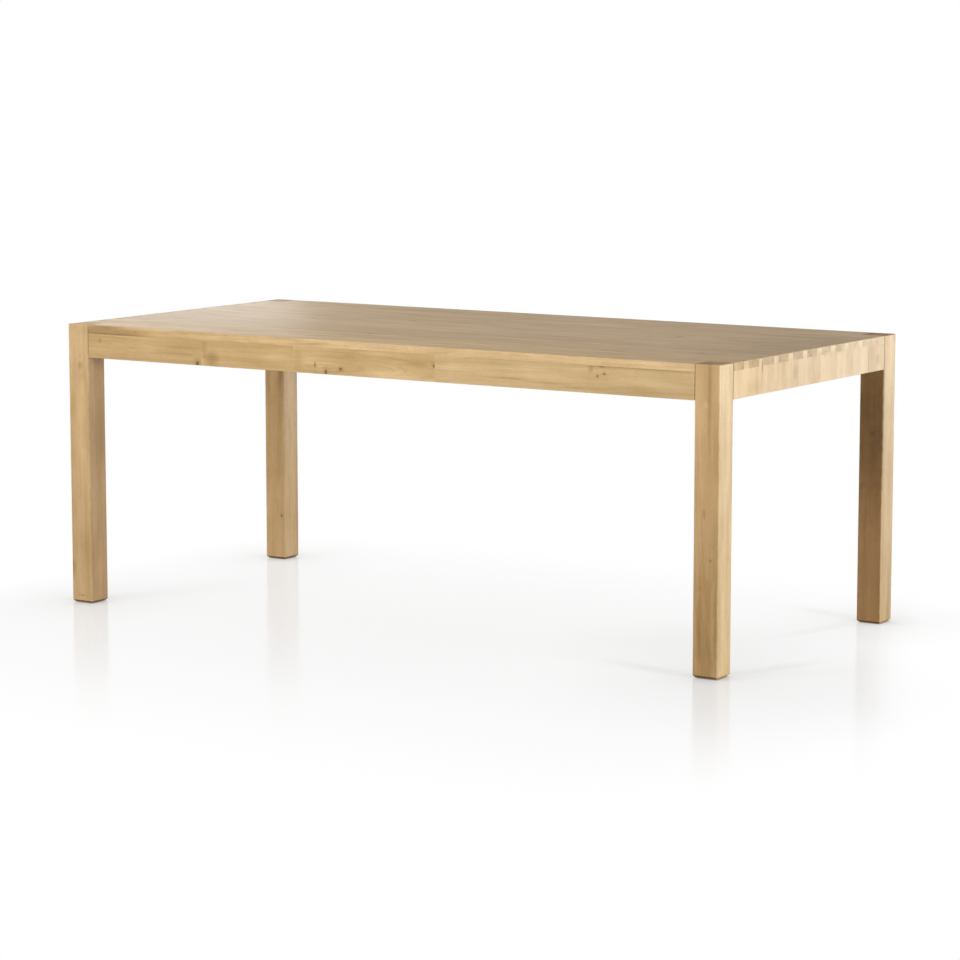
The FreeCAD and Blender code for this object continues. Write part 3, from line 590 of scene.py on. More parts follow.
def dress_top():
    """The six boards of the top, whose ends show as the fingers of the box joint."""
    tints = ((1.08, 1.08, 1.08), (0.98, 0.96, 0.94), (1.06, 1.05, 1.04),
             (1.08, 1.08, 1.08), (1.09, 1.08, 1.07), (1.08, 1.07, 1.06))
    # Tints of the boards' ends, the fingers: end grain tone, and whiter and bluer towards the back as painted
    # sheen
    end_grain_and_sheen_tints = ((0.78, 0.81, 0.89), (0.84, 0.91, 1.12), (0.80, 0.875, 1.13),
                 (0.92, 1.035, 1.34), (0.98, 1.13, 1.475), (0.98, 1.11, 1.45))
    hearts = ((0.010, 0.060), (-0.050, 0.090), (0.030, 0.120),
              (-0.020, 0.075), (0.060, 0.050), (-0.035, 0.100))
    # Painted shade: the right end of the top is darkened, where less light falls on it
    painted_shade_end = (on_top(0.98, 0.02, 0.36, 0.50, 0.003), 0.80)
    dull_end = (on_top(-0.98, 0.0, 0.30, 0.70, 0.003), 0.35)
    # Painted sheen: the back boards are paler left of the middle, standing in for a reflection
    painted_sheen_middle = (on_top(-0.60, 0.28, 0.36, 0.20, 0.003), -0.28)
    # Painted highlight: a pale line along the top edge of the right end, where the rounded arris catches
    # light
    painted_arris_highlight = (on_right(0.0, TOP, 0.60, 0.004, 0.004), -0.90)
    knots = {
        1: [on_top(-0.150, -0.274, 0.006, 0.004, 0.004), on_top(0.487, -0.312, 0.006, 0.004, 0.004)],
        2: [on_top(0.825, -0.247, 0.007, 0.005, 0.004)],
        4: [on_top(-0.562, 0.044, 0.008, 0.004, 0.004), on_top(-0.275, 0.112, 0.007, 0.005, 0.004),
            on_top(0.562, 0.106, 0.007, 0.005, 0.004)],
    }
    stains_and_shading = {
        1: [(on_front(-0.87, 0.745, 0.17, 0.03, 0.016), 1.00),
            (on_front(-0.20, 0.752, 0.45, 0.03, 0.012), -0.40),
            (on_front(0.60, 0.750, 0.55, 0.03, 0.012), -0.55),
            # Painted shade at the right end of the front board, like that of the other boards
            (on_top(0.98, -0.40, 0.26, 0.12, 0.003), 0.30),
            (on_front(0.86, 0.750, 0.20, 0.03, 0.012), -0.30),
            (on_right(-0.396, 0.752, 0.026, 0.02), -0.40),
            (on_right(-0.361, 0.744, 0.012, 0.009), 0.50)],
        2: [painted_shade_end, dull_end, (on_top(-0.10, -0.262, 0.70, 0.020), 0.50),
            (on_top(0.30, -0.137, 0.50, 0.012), 0.40)],
        3: [painted_shade_end, dull_end, (on_top(0.20, -0.062, 0.45, 0.012), 0.40),
            (on_top(0.28, 0.020, 0.30, 0.016), -0.40)],
        4: [painted_shade_end, dull_end, painted_sheen_middle, (on_top(-0.45, 0.060, 0.14, 0.020), 0.35),
            (on_top(0.10, 0.112, 0.60, 0.012), 0.35)],
        5: [painted_shade_end, dull_end, painted_sheen_middle, (on_top(0.30, 0.270, 0.25, 0.040), -0.35)],
        6: [dull_end, painted_sheen_middle, (on_top(-0.30, 0.380, 0.50, 0.030), 0.25)],
    }
    for index in range(1, 7):
        neighbours = [side for side, last in (("y-", 1), ("y+", 6)) if index != last]
        wood(f"top_board_{index}", "x", tints[index - 1], heart=hearts[index - 1], shift=3.1 * index,
             lean=(0.012, -0.015 + 0.006 * index), ring=0.009, figure=0.18, streak=1.8, breadth=0.12,
             fleck=0.35, relief=0.15, gloss=0.12 if index == 1 else 0.25, end_tint=end_grain_and_sheen_tints[index - 1],
             knots=knots.get(index, ()), stains_and_shading=[*stains_and_shading[index], painted_arris_highlight], glued=[*neighbours, "z-"],
             seams=neighbours, fingers=True)


def dress_ends():
    """The upright staves of both end aprons. The marks are those of the right one."""
    # Stave tints: tone, and bluer than the wood as painted sheen on the end
    tints = ((1.07, 1.10, 1.16), (1.04, 1.09, 1.21), (0.99, 1.04, 1.18),
             (1.01, 1.07, 1.20), (0.99, 1.06, 1.20), (0.97, 1.01, 1.13))
    seams = (("y-", "y+"), ("y-",), (), (), ("y+",), ("y-", "y+"))
    # Paler pins at the top of the end: partly tone, partly painted sheen
    pale_pins_and_sheen = (on_right(0.15, TOP, 0.46, 0.022, 0.03), -0.60)
    knots = {2: [on_right(-0.2614, 0.742, 0.0022, 0.0200, 0.006)]}
    stains_and_shading = {
        1: [(on_right(-0.300, 0.690, 0.060, 0.030, 0.01), 0.20),
            (on_right(-0.343, 0.752, 0.020, 0.016), 0.45)],
        2: [pale_pins_and_sheen],
        3: [pale_pins_and_sheen, (on_right(-0.090, 0.711, 0.020, 0.025), 0.45),
            (on_right(-0.1125, 0.700, 0.002, 0.06), 0.60)],
        4: [pale_pins_and_sheen, (on_right(0.040, 0.700, 0.004, 0.06), 0.30)],
        5: [pale_pins_and_sheen, (on_right(0.219, 0.700, 0.014, 0.05), 0.35),
            (on_right(0.3165, 0.700, 0.003, 0.055), 1.00)],
        6: [pale_pins_and_sheen, (on_right(0.370, 0.702, 0.018, 0.022), 0.50)],
    }
    for index in range(1, 7):
        for side in ("left", "right"):
            shown = side == "right"
            wood(f"{side}_end_stave_{index}", "z", tints[index - 1], heart=(0.060, 0.020 * index - 0.06),
                 shift=2.3 * index + (0.0 if shown else 17.0), lean=(0.02, 0.03), ring=0.0075, figure=0.12,
                 streak=1.2, end_tint=STAVE_END, under_shade_tint=PAINTED_SHADE_UNDERSIDE,
                 knots=knots.get(index, ()) if shown else (), stains_and_shading=stains_and_shading[index] if shown else (),
                 glued=("y-", "y+", "z+"), seams=seams[index - 1])


def dress_rails():
    """The lengths of the two side rails. The marks are those of the front one."""
    tints = ((0.95, 0.92, 0.86), (1.00, 0.98, 0.92), (1.07, 1.07, 1.03), (1.08, 1.10, 1.11))
    hearts = ((0.090, 0.030), (0.060, -0.050), (0.026, 0.016), (0.045, 0.060))
    leans = ((0.01, 0.01), (-0.02, 0.03), (0.0, 0.12), (0.02, -0.03))
    figures = (0.20, 0.24, 0.34, 0.20)
    seams = (("x-", "z+"), ("z+",), ("z+",), ("x+", "z+"))
    knots = {
        1: [on_front(-0.561, 0.6765, 0.0060, 0.0075, 0.006)],
        3: [on_front(-0.181, 0.695, 0.0020, 0.0060, 0.004), on_front(-0.147, 0.678, 0.0046, 0.0070, 0.004),
            on_front(-0.100, 0.688, 0.0062, 0.0040, 0.006), on_front(0.186, 0.712, 0.0045, 0.0056, 0.005)],
        4: [on_front(0.681, 0.721, 0.0035, 0.0026, 0.004), on_front(0.6625, 0.715, 0.0026, 0.0029, 0.004),
            on_front(0.675, 0.738, 0.0077, 0.0014, 0.004)],
    }
    stains_and_shading = {
        1: [(on_front(-0.86, 0.738, 0.11, 0.012), 0.45), (on_front(-0.62, 0.715, 0.10, 0.030), 0.22),
            (on_front(-0.891, 0.720, 0.009, 0.011), 0.55), (on_front(-0.85, 0.7395, 0.16, 0.003), 1.00),
            # Painted highlight: the first patch here is the pale line just below the seam at the left end
            (on_front(-0.82, 0.7345, 0.16, 0.003), -0.60), (on_front(-0.932, 0.715, 0.004, 0.060), 0.90)],
        2: [(on_front(-0.515, 0.692, 0.030, 0.030), 1.00), (on_front(-0.539, 0.715, 0.014, 0.034), 0.40),
            (on_front(-0.30, 0.730, 0.10, 0.020), 0.10), (on_front(-0.28, 0.700, 0.09, 0.05), -0.30)],
        3: [(on_front(-0.235, 0.705, 0.022, 0.040), 0.35), (on_front(0.196, 0.714, 0.003, 0.030), 0.70)],
        4: [(on_front(0.644, 0.733, 0.010, 0.014), 0.70), (on_front(0.40, 0.6945, 0.10, 0.0045), 0.55),
            (on_front(0.52, 0.690, 0.09, 0.0045), 0.55), (on_front(0.61, 0.682, 0.07, 0.0045), 0.45),
            (on_front(0.70, 0.737, 0.30, 0.008), 0.40), (on_front(0.24, 0.715, 0.040, 0.035), -0.20),
            (on_front(0.80, 0.7395, 0.22, 0.004), 0.70)],
    }
    for index in range(1, 5):
        for side in ("front", "back"):
            shown = side == "front"
            wood(f"{side}_rail_{index}", "x", tints[index - 1], under_shade_tint=PAINTED_SHADE_UNDERSIDE,
                 heart=hearts[index - 1], lean=leans[index - 1],
                 shift=1.7 * index + (0.0 if shown else 23.0), ring=0.008, wander=0.018,
                 figure=figures[index - 1], knots=knots.get(index, ()) if shown else (),
                 stains_and_shading=stains_and_shading[index] if shown else (), glued=("x-", "x+", "z+"), seams=seams[index - 1])


def dress_legs():
    """The four legs. The tints are those of the faces to the front and back, and to the sides:
    tone, and painted light and shade on each face.
    """
    wood("leg_front_left", "z", (0.925, 0.895, 0.855), (0.770, 0.725, 0.70), PAINTED_SHADE_SOLE,
         end_tint=(1.00, 0.98, 0.97), heart=(0.070, 0.055), lean=(0.010, 0.025), shift=0.6, ring=0.007,
         knots=[on_front(-0.966, 0.021, 0.0075, 0.0012, 0.004)],
         stains_and_shading=[(on_front(-0.961, 0.650, 0.013, 0.016), 0.65), (on_front(-0.961, 0.675, 0.006, 0.007), 0.40),
                 (on_front(-0.954, 0.585, 0.020, 0.030), -0.25), (on_front(-0.989, 0.540, 0.016, 0.05), 0.35),
                 (on_front(-0.986, 0.420, 0.014, 0.060), 0.35), (on_front(-0.996, 0.095, 0.012, 0.04), 0.80),
                 # Painted light: paler towards the top of the front face
                 (on_front(-0.966, 0.720, 0.08, 0.09, 0.05), -0.35),
                 (on_front(-0.966, 0.02, 0.06, 0.13), -0.25),
                 # Painted shade: darker towards the top of the inner face, under the apron
                 (on_left_leg(-0.441, 0.50, 0.05, 0.26), 0.40),
                 (on_left_leg(-0.441, 0.02, 0.05, 0.12), -0.25)])
    wood("leg_front_right", "z", (0.885, 0.825, 0.745), (1.045, 1.11, 1.20), PAINTED_SHADE_SOLE, LIT_CHAMFER,
         end_tint=(0.76, 0.69, 0.72), heart=(-0.026, 0.004), lean=(0.030, 0.020), shift=4.4, ring=0.0065,
         knots=[on_front(0.979, 0.289, 0.0018, 0.0020, 0.005)],
         stains_and_shading=[(on_front(0.973, 0.690, 0.009, 0.20, 0.02), 0.80),
                 (on_front(0.959, 0.40, 0.008, 0.018), 0.60),
                 (on_front(0.9715, 0.289, 0.006, 0.002), 0.50),
                 (on_front(0.964, 0.662, 0.012, 0.012, 0.02), -0.40),
                 (on_front(0.949, 0.120, 0.009, 0.14, 0.02), 0.60),
                 # Painted shade at the foot and painted light at the top of the front face
                 (on_front(0.966, 0.08, 0.20, 0.30, 0.012), 0.33),
                 (on_front(0.966, 0.73, 0.20, 0.22, 0.012), -0.45),
                 (on_right(-0.414, 0.55, 0.009, 0.22), 0.40),
                 (on_top(0.945, -0.452, 0.036, 0.032, 0.003), 0.90)])
    wood("leg_back_left", "z", (1.00, 0.96, 0.92), (1.00, 1.01, 1.05), PAINTED_SHADE_SOLE,
         heart=(0.060, -0.045), lean=(-0.02, 0.015), shift=8.1, ring=0.0065,
         knots=[on_back_leg(-0.943, 0.13, 0.003, 0.004, 0.005)],
         # Painted light: the second patch here lightens the upper inner face, against the shade under the
         # apron
         stains_and_shading=[(on_back_leg(-0.966, 0.68, 0.05, 0.11), 0.40), (on_left_leg(0.441, 0.60, 0.05, 0.40), -1.00),
                 (on_left_leg(0.441, 0.06, 0.05, 0.30), 0.22), (on_back_leg(-0.945, 0.62, 0.012, 0.10), 0.60),
                 (on_back_leg(-0.990, 0.55, 0.012, 0.12), 0.50)])
    wood("leg_back_right", "z", (0.76, 0.64, 0.56), (0.92, 0.945, 0.98), PAINTED_SHADE_SOLE, LIT_CHAMFER,
         heart=(-0.055, 0.060), lean=(0.015, -0.02), shift=11.7, ring=0.0065,
         knots=[on_back_leg(0.971, 0.503, 0.003, 0.003, 0.005)],
         stains_and_shading=[(on_right(0.44, 0.70, 0.05, 0.15, 0.05), -0.55), (on_right(0.44, 0.06, 0.05, 0.22), 0.30),
                 # Painted shade: the front face darker towards its top, under the table
                 (on_back_leg(0.966, 0.62, 0.20, 0.35, 0.012), 1.00),
                 (on_back_leg(0.966, 0.47, 0.20, 0.26, 0.012), 0.80)])


def dress_inner_wood():
    """The cross rails under the top and the turned dowels."""
    for index, name in enumerate(("left", "middle", "right")):
        heart = (0.040, 0.050 - 0.02 * index)
        wood(f"cross_rail_{name}", "y", (0.97, 0.95, 0.92), heart=heart, shift=5.3 * index)
    wood("rail_dowels", "z", heart=(0.030, 0.020), ring=0.002, pale=PALE_BEECH, dark=DARK_BEECH)


def zinc(name, bright, dull):
    material, tree, shader = new_material(name)
    tones = {"Bright": (*bright, 1.0), "Dull": (*dull, 1.0)}
    looks = use_group(tree, PLATING, {"Place": object_place(tree), **tones})
    finish_material(tree, shader, looks, 0.25, FINE_HEIGHT)
    shader.inputs["Metallic"].default_value = 1.0
    return material


def black_nylon():
    """Moulded nylon: a fine grain, with scuffs that show grey."""
    material, tree, shader = new_material("black_nylon")
    place = object_place(tree)
    grain = noise(tree, place, NYLON_GRAIN)["Fac"]
    scuffs = step(tree, noise(tree, place, NYLON_SCUFFS, detail=3.0)["Fac"], 0.55, 0.72)
    color = mix(tree, scuffs, CLEAN_NYLON, SCUFFED_NYLON)
    roughness = calc(tree, "MULTIPLY_ADD", scuffs, 0.20, calc(tree, "MULTIPLY_ADD", grain, 0.15, 0.38))
    looks = {"Color": color, "Roughness": roughness, "Height": grain}
    finish_material(tree, shader, looks, 0.3, FINE_HEIGHT)
    return material


def dress_metal_and_nylon(bright_zinc, nylon):
    for corner in CORNERS:
        cover(f"corner_bracket_{corner}", bright_zinc)
        cover(f"foot_pad_{corner}", nylon)
    cover("hanger_washers", bright_zinc)
    cover("foot_inserts", bright_zinc)


def new_shape(name, sizes, counts=()):
    """A Geometry Nodes group that makes a mesh from its sizes."""
    inputs = {**floats(*sizes), **dict.fromkeys(counts, "Int")}
    return new_group(name, inputs, {"Mesh": "Geometry"}, "GeometryNodeTree")


def new_fastener(name, *sizes):
    """A Geometry Nodes group that sets a fastener on points."""
    inputs = {"Geometry": "Geometry", "Material": "Material", **floats(*sizes)}
    return new_group(name, inputs, {"Geometry": "Geometry"}, "GeometryNodeTree")


def make_thread():
    """A threaded rod up the Z axis, closed at both ends, with a tapered start and a chamfer at its top."""
    sizes = ("Radius", "Pitch", "Depth", "Length", "Taper")
    tree, given, results = new_shape("threaded_rod", sizes, ("Rows", "Columns"))
    grid = {"Size X": 1.0, "Size Y": 1.0, "Vertices X": given["Rows"], "Vertices Y": given["Columns"]}
    sheet = put(tree, "GeometryNodeMeshGrid", grid).outputs["Mesh"]
    spot = split(tree, tree.nodes.new("GeometryNodeInputPosition").outputs[0])
    last_row = calc(tree, "SUBTRACT", given["Rows"], 1.0)
    row = calc(tree, "MULTIPLY", calc(tree, "ADD", spot["X"], 0.5), last_row)
    threaded_rows = calc(tree, "SUBTRACT", given["Rows"], 3.0)
    share = calc(tree, "DIVIDE", calc(tree, "SUBTRACT", row, 1.0), threaded_rows, clamp=True)
    height = calc(tree, "MULTIPLY", share, given["Length"])
    around = calc(tree, "ADD", spot["Y"], 0.5)
    angle = calc(tree, "MULTIPLY", around, -2 * math.pi)
    turn = calc(tree, "FRACT", calc(tree, "ADD", calc(tree, "DIVIDE", height, given["Pitch"]), around))
    flank = calc(tree, "ABSOLUTE", calc(tree, "MULTIPLY_ADD", turn, 2.0, -1.0))
    slope = {"Value": flank, "From Min": 0.15, "From Max": 0.85}
    groove = put(tree, "ShaderNodeMapRange", slope).outputs["Result"]
    start = calc(tree, "DIVIDE", height, given["Taper"], clamp=True)
    top = calc(tree, "DIVIDE", calc(tree, "SUBTRACT", given["Length"], height), given["Depth"], clamp=True)
    crest = calc(tree, "MULTIPLY", given["Radius"], calc(tree, "MULTIPLY_ADD", start, 0.72, 0.28))
    ridge = calc(tree, "MULTIPLY", calc(tree, "SUBTRACT", 1.0, groove), calc(tree, "MINIMUM", start, top))
    radius = calc(tree, "MULTIPLY_ADD", calc(tree, "SUBTRACT", ridge, 1.0), given["Depth"], crest)
    middle_row = calc(tree, "MULTIPLY", last_row, 0.5)
    from_middle = calc(tree, "ABSOLUTE", calc(tree, "SUBTRACT", row, middle_row))
    inside = calc(tree, "LESS_THAN", from_middle, calc(tree, "SUBTRACT", middle_row, 0.5))
    radius = calc(tree, "MULTIPLY", radius, inside)
    place = combine(tree, X=calc(tree, "MULTIPLY", radius, calc(tree, "COSINE", angle)),
                    Y=calc(tree, "MULTIPLY", radius, calc(tree, "SINE", angle)), Z=height)
    rod = put(tree, "GeometryNodeSetPosition", {"Geometry": sheet, "Position": place}).outputs[0]
    rod = put(tree, "GeometryNodeMergeByDistance", {"Geometry": rod, "Distance": 1e-6}).outputs[0]
    return finish_group(tree, results, Mesh=rod)


def moved_up(tree, mesh, height):
    """A mesh moved along Z."""
    shift = combine(tree, Z=height)
    return put(tree, "GeometryNodeTransform", {"Geometry": mesh, "Translation": shift}).outputs[0]


def post(tree, sides, radius, height):
    """A cylinder or a prism from the floor up."""
    solid = put(tree, "GeometryNodeMeshCylinder", {"Vertices": sides, "Radius": radius, "Depth": height})
    return moved_up(tree, solid.outputs["Mesh"], calc(tree, "MULTIPLY", height, 0.5))


def boolean(tree, operation, first, *others):
    """A solid joined with or cut by others."""
    node = put(tree, "GeometryNodeMeshBoolean", operation=operation, solver="EXACT")
    if operation == "DIFFERENCE":
        tree.links.new(first, node.inputs["Mesh 1"])
    else:
        others = (first, *others)
    for mesh in others:
        tree.links.new(mesh, node.inputs["Mesh 2"])
    return node.outputs["Mesh"]


def make_hexagon():
    """A hexagon from the floor up, with its corners turned down at both faces and a bore through it."""
    tree, given, results = new_shape("turned_hexagon", ("Across Flats", "Height", "Bore"))
    height = given["Height"]
    bar = post(tree, 6, calc(tree, "DIVIDE", given["Across Flats"], math.sqrt(3)), height)
    face = calc(tree, "MULTIPLY", given["Across Flats"], TURNED_FACE)
    wide = calc(tree, "MULTIPLY_ADD", height, 1.0 / math.tan(CORNER_SLOPE), face)
    cones = []
    for top, bottom in ((face, wide), (wide, face)):
        cone = {"Vertices": ROUND_SIDES, "Radius Top": top, "Radius Bottom": bottom, "Depth": height}
        cones.append(put(tree, "GeometryNodeMeshCone", cone).outputs["Mesh"])
    through = calc(tree, "MULTIPLY", height, 3.0)
    drill = {"Vertices": SMALL_ROUND_SIDES, "Radius": given["Bore"], "Depth": through}
    drill = put(tree, "GeometryNodeMeshCylinder", drill).outputs["Mesh"]
    turned = boolean(tree, "INTERSECT", bar, *cones)
    return finish_group(tree, results, Mesh=boolean(tree, "DIFFERENCE", turned, drill))


def make_pan_head():
    """A domed screw head from the floor up, with a cross recess."""
    tree, given, results = new_shape("pan_head", ("Radius", "Height", *RECESS))
    disc = post(tree, SMALL_ROUND_SIDES, given["Radius"], given["Height"])
    dome_radius = calc(tree, "MULTIPLY", given["Radius"], DOME)
    dome = {"Segments": ROUND_SIDES, "Rings": ROUND_SIDES, "Radius": dome_radius}
    dome = put(tree, "GeometryNodeMeshUVSphere", dome).outputs["Mesh"]
    dome = moved_up(tree, dome, calc(tree, "SUBTRACT", given["Height"], dome_radius))
    depth = calc(tree, "MULTIPLY", given["Recess Depth"], 2.0)
    wings = []
    for x, y in (("Recess Length", "Recess Width"), ("Recess Width", "Recess Length")):
        wing = put(tree, "GeometryNodeMeshCube", {"Size": combine(tree, X=given[x], Y=given[y], Z=depth)})
        wings.append(moved_up(tree, wing.outputs["Mesh"], given["Height"]))
    head = boolean(tree, "INTERSECT", disc, dome)
    return finish_group(tree, results, Mesh=boolean(tree, "DIFFERENCE", head, *wings))


THREAD, HEXAGON, PAN_HEAD = make_thread(), make_hexagon(), make_pan_head()


def threaded(tree, thread, radius, length, rows):
    """A rod with one of the named threads."""
    return use_group(tree, THREAD, {**thread, "Radius": radius, "Length": length, "Rows": rows})["Mesh"]


def set_on_points(tree, given, results, parts):
    """Sets a fastener made of the given parts on each point, aimed along the point's own direction."""
    joined = tree.nodes.new("GeometryNodeJoinGeometry")
    for part in parts:
        tree.links.new(part, joined.inputs["Geometry"])
    aim = put(tree, "GeometryNodeInputNamedAttribute", {"Name": "aim"}, data_type="FLOAT_VECTOR").outputs[0]
    turn = put(tree, "FunctionNodeAlignRotationToVector", {"Vector": aim}, axis="Z").outputs[0]
    setting = {"Points": given["Geometry"], "Rotation": turn, "Instance": joined.outputs[0]}
    placed = put(tree, "GeometryNodeInstanceOnPoints", setting).outputs[0]
    real = put(tree, "GeometryNodeRealizeInstances", {"Geometry": placed}).outputs[0]
    smooth = put(tree, "GeometryNodeSetShadeSmooth", {"Geometry": real, "Shade Smooth": True}).outputs[0]
    angle = tree.nodes.new("GeometryNodeInputMeshEdgeAngle").outputs["Unsigned Angle"]
    sharp = calc(tree, "GREATER_THAN", angle, SHARP_EDGE)
    edges = {"Geometry": smooth, "Shade Smooth": False, "Selection": sharp}
    creased = put(tree, "GeometryNodeSetShadeSmooth", edges, domain="EDGE").outputs[0]
    coat = {"Geometry": creased, "Material": given["Material"]}
    coated = put(tree, "GeometryNodeSetMaterial", coat).outputs[0]
    return finish_group(tree, results, Geometry=coated)


def make_hanger_bolt():
    """A bolt with a wood thread below, from the floor up, and a machine thread above."""
    tree, given, results = new_fastener("hanger_bolt", "Radius", "Wood Length", "Machine Length")
    wood_end = threaded(tree, WOOD_THREAD, given["Radius"], given["Wood Length"], rows=120)
    machine_end = threaded(tree, MACHINE_THREAD, given["Radius"], given["Machine Length"], rows=150)
    return set_on_points(tree, given, results, [wood_end, moved_up(tree, machine_end, given["Wood Length"])])


def make_hex_nut():
    sizes = ("Across Flats", "Height", "Bore")
    tree, given, results = new_fastener("hex_nut", *sizes)
    nut = use_group(tree, HEXAGON, {size: given[size] for size in sizes})["Mesh"]
    return set_on_points(tree, given, results, [nut])


def make_wood_screw():
    """A pan-head screw from its point up."""
    tree, given, results = new_fastener("wood_screw", "Radius", "Length", "Head Radius", "Head Height")
    shank = threaded(tree, SCREW_THREAD, given["Radius"], given["Length"], rows=72)
    head = {"Radius": given["Head Radius"], "Height": given["Head Height"], **RECESS}
    head = moved_up(tree, use_group(tree, PAN_HEAD, head)["Mesh"], given["Length"])
    return set_on_points(tree, given, results, [shank, head])


def make_foot():
    """A levelling foot from its boss up: the lip that holds the pad, the boss, the hexagon and the stud."""
    tree, given, results = new_fastener("threaded_foot", *FOOT, "Across Flats", "Stud Length")
    lip = post(tree, ROUND_SIDES, calc(tree, "ADD", given["Boss Radius"], given["Lip"]), given["Lip"])
    boss = post(tree, ROUND_SIDES, given["Boss Radius"], given["Boss Height"])
    hexagon = {"Across Flats": given["Across Flats"], "Height": given["Hexagon Height"],
               "Bore": calc(tree, "MULTIPLY", given["Stud Radius"], 0.5)}
    hexagon = moved_up(tree, use_group(tree, HEXAGON, hexagon)["Mesh"], given["Boss Height"])
    stud = threaded(tree, MACHINE_THREAD, given["Stud Radius"], given["Stud Length"], rows=190)
    stud = moved_up(tree, stud, calc(tree, "ADD", given["Boss Height"], given["Hexagon Height"]))
    return set_on_points(tree, given, results, [lip, boss, hexagon, stud])


def solids_of(node):
    """The points of each separate solid in a CAD node."""
    mesh = bmesh.new()
    mesh.from_mesh(NODES[node].data)
    bmesh.ops.remove_doubles(mesh, verts=mesh.verts, dist=1e-6)
    mesh.verts.index_update()
    seen = set()
    solids = []
    for first in mesh.verts:
        if first.index in seen:
            continue
        seen.add(first.index)
        found = [first]
        for vert in found:
            for other in (edge.other_vert(vert) for edge in vert.link_edges):
                if other.index not in seen:
                    seen.add(other.index)
                    found.append(other)
        solids.append(np.array([vert.co for vert in found]))
    mesh.free()
    return solids


def lie_of(points, longest):
    """The base of a turned solid, its direction, length and radius. A long one starts at its narrow end."""
    middle = points.mean(0)
    axes = np.linalg.eigh(np.cov((points - middle).T))[1]
    axis = axes[:, -1] if longest else axes[:, 0]
    along = (points - middle) @ axis
    away = np.linalg.norm(points - middle - np.outer(along, axis), axis=1)
    first, last = along.argmin(), along.argmax()
    if longest and away[last] < away[first]:
        axis, along, first = -axis, -along, last
    return Vector(middle + axis * along[first]), Vector(axis), np.ptp(along), away.max()


def lies_of(node, longest):
    """The base and direction of each of a node's solids, and the length and radius that they share."""
    lies = [lie_of(points, longest) for points in solids_of(node)]
    _, _, length, radius = lies[0]
    return [(base, axis) for base, axis, _, _ in lies], length, radius


def set_fasteners(name, node, tree, lies, sizes, material, body="table"):
    """Runs a fastener's tree on points at the given lies, and keeps the result as a mesh on its body."""
    points = bpy.data.meshes.new(f"{name}_points")
    points.from_pydata([base for base, axis in lies], [], [])
    aims = points.attributes.new("aim", "FLOAT_VECTOR", "POINT")
    aims.data.foreach_set("vector", [value for base, axis in lies for value in axis])
    source = bpy.data.objects.new(f"{name}_points", points)
    bpy.context.scene.collection.objects.link(source)
    modifier = source.modifiers.new(name, "NODES")
    modifier.node_group = tree
    sockets = {item.name: item.identifier for item in tree.interface.items_tree if item.in_out == "INPUT"}
    for size, value in {**sizes, "Material": material}.items():
        modifier[sockets[size]] = value
    view = bpy.context.evaluated_depsgraph_get()
    mesh = bpy.data.meshes.new_from_object(source.evaluated_get(view), depsgraph=view)
    bpy.data.objects.remove(source)
    if "aim" in mesh.attributes:
        mesh.attributes.remove(mesh.attributes["aim"])
    piece = bpy.data.objects.new(name, mesh)
    bpy.context.scene.collection.objects.link(piece)
    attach(piece, body)
    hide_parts(node)


def fit_hardware(bright_zinc):
    """The bolts, nuts and screws of the frame."""
    lies, length, radius = lies_of("hanger_bolts", True)
    sizes = {"Radius": radius, "Wood Length": BOLT_IN_LEG, "Machine Length": length - BOLT_IN_LEG}
    set_fasteners("hanger_bolt_set", "hanger_bolts", make_hanger_bolt(), lies, sizes, bright_zinc)
    lies, height, corner = lies_of("hanger_nuts", False)
    sizes = {"Across Flats": corner * math.sqrt(3), "Height": height, "Bore": radius}
    set_fasteners("hanger_nut_set", "hanger_nuts", make_hex_nut(), lies, sizes, bright_zinc)
    screw = make_wood_screw()
    for node in ("bracket_screws", "cross_rail_screws"):
        lies, length, head_radius = lies_of(node, True)
        sizes = {"Radius": head_radius / 2, "Length": length - SCREW_HEAD_HEIGHT,
                 "Head Radius": head_radius, "Head Height": SCREW_HEAD_HEIGHT}
        set_fasteners(f"{node}_set", node, screw, lies, sizes, bright_zinc)


def fit_feet(dull_zinc):
    """The four levelling feet."""
    tree = make_foot()
    for corner in CORNERS:
        node = f"levelling_foot_{corner}"
        low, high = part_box(node)
        middle = (low + high) / 2
        stud_length = high.z - low.z - FOOT["Boss Height"] - FOOT["Hexagon Height"]
        sizes = {**FOOT, "Across Flats": min(high.x - low.x, high.y - low.y), "Stud Length": stud_length}
        lies = [(Vector((middle.x, middle.y, low.z)), AXES["z"])]
        set_fasteners(f"threaded_foot_{corner}", node, tree, lies, sizes, dull_zinc,
                      body=f"{corner}_foot")


def soft_box(name, place, aim, size, watts):
    """A soft box, aimed at a point."""
    data = bpy.data.lights.new(name, "AREA")
    data.shape = "RECTANGLE"
    data.size, data.size_y = size
    data.energy = watts
    lamp = bpy.data.objects.new(name, data)
    lamp.location = place
    lamp.rotation_euler = (Vector(aim) - Vector(place)).to_track_quat("-Z", "Y").to_euler()
    lamp.visible_camera = False
    bpy.context.scene.collection.objects.link(lamp)
    return lamp


def seen_rays(tree):
    """One on the rays that see the white background: those of the camera, of gloss and through glass."""
    rays = tree.nodes.new("ShaderNodeLightPath").outputs
    seen = calc(tree, "MAXIMUM", rays["Is Camera Ray"], rays["Is Glossy Ray"])
    return calc(tree, "MAXIMUM", seen, rays["Is Transmission Ray"])


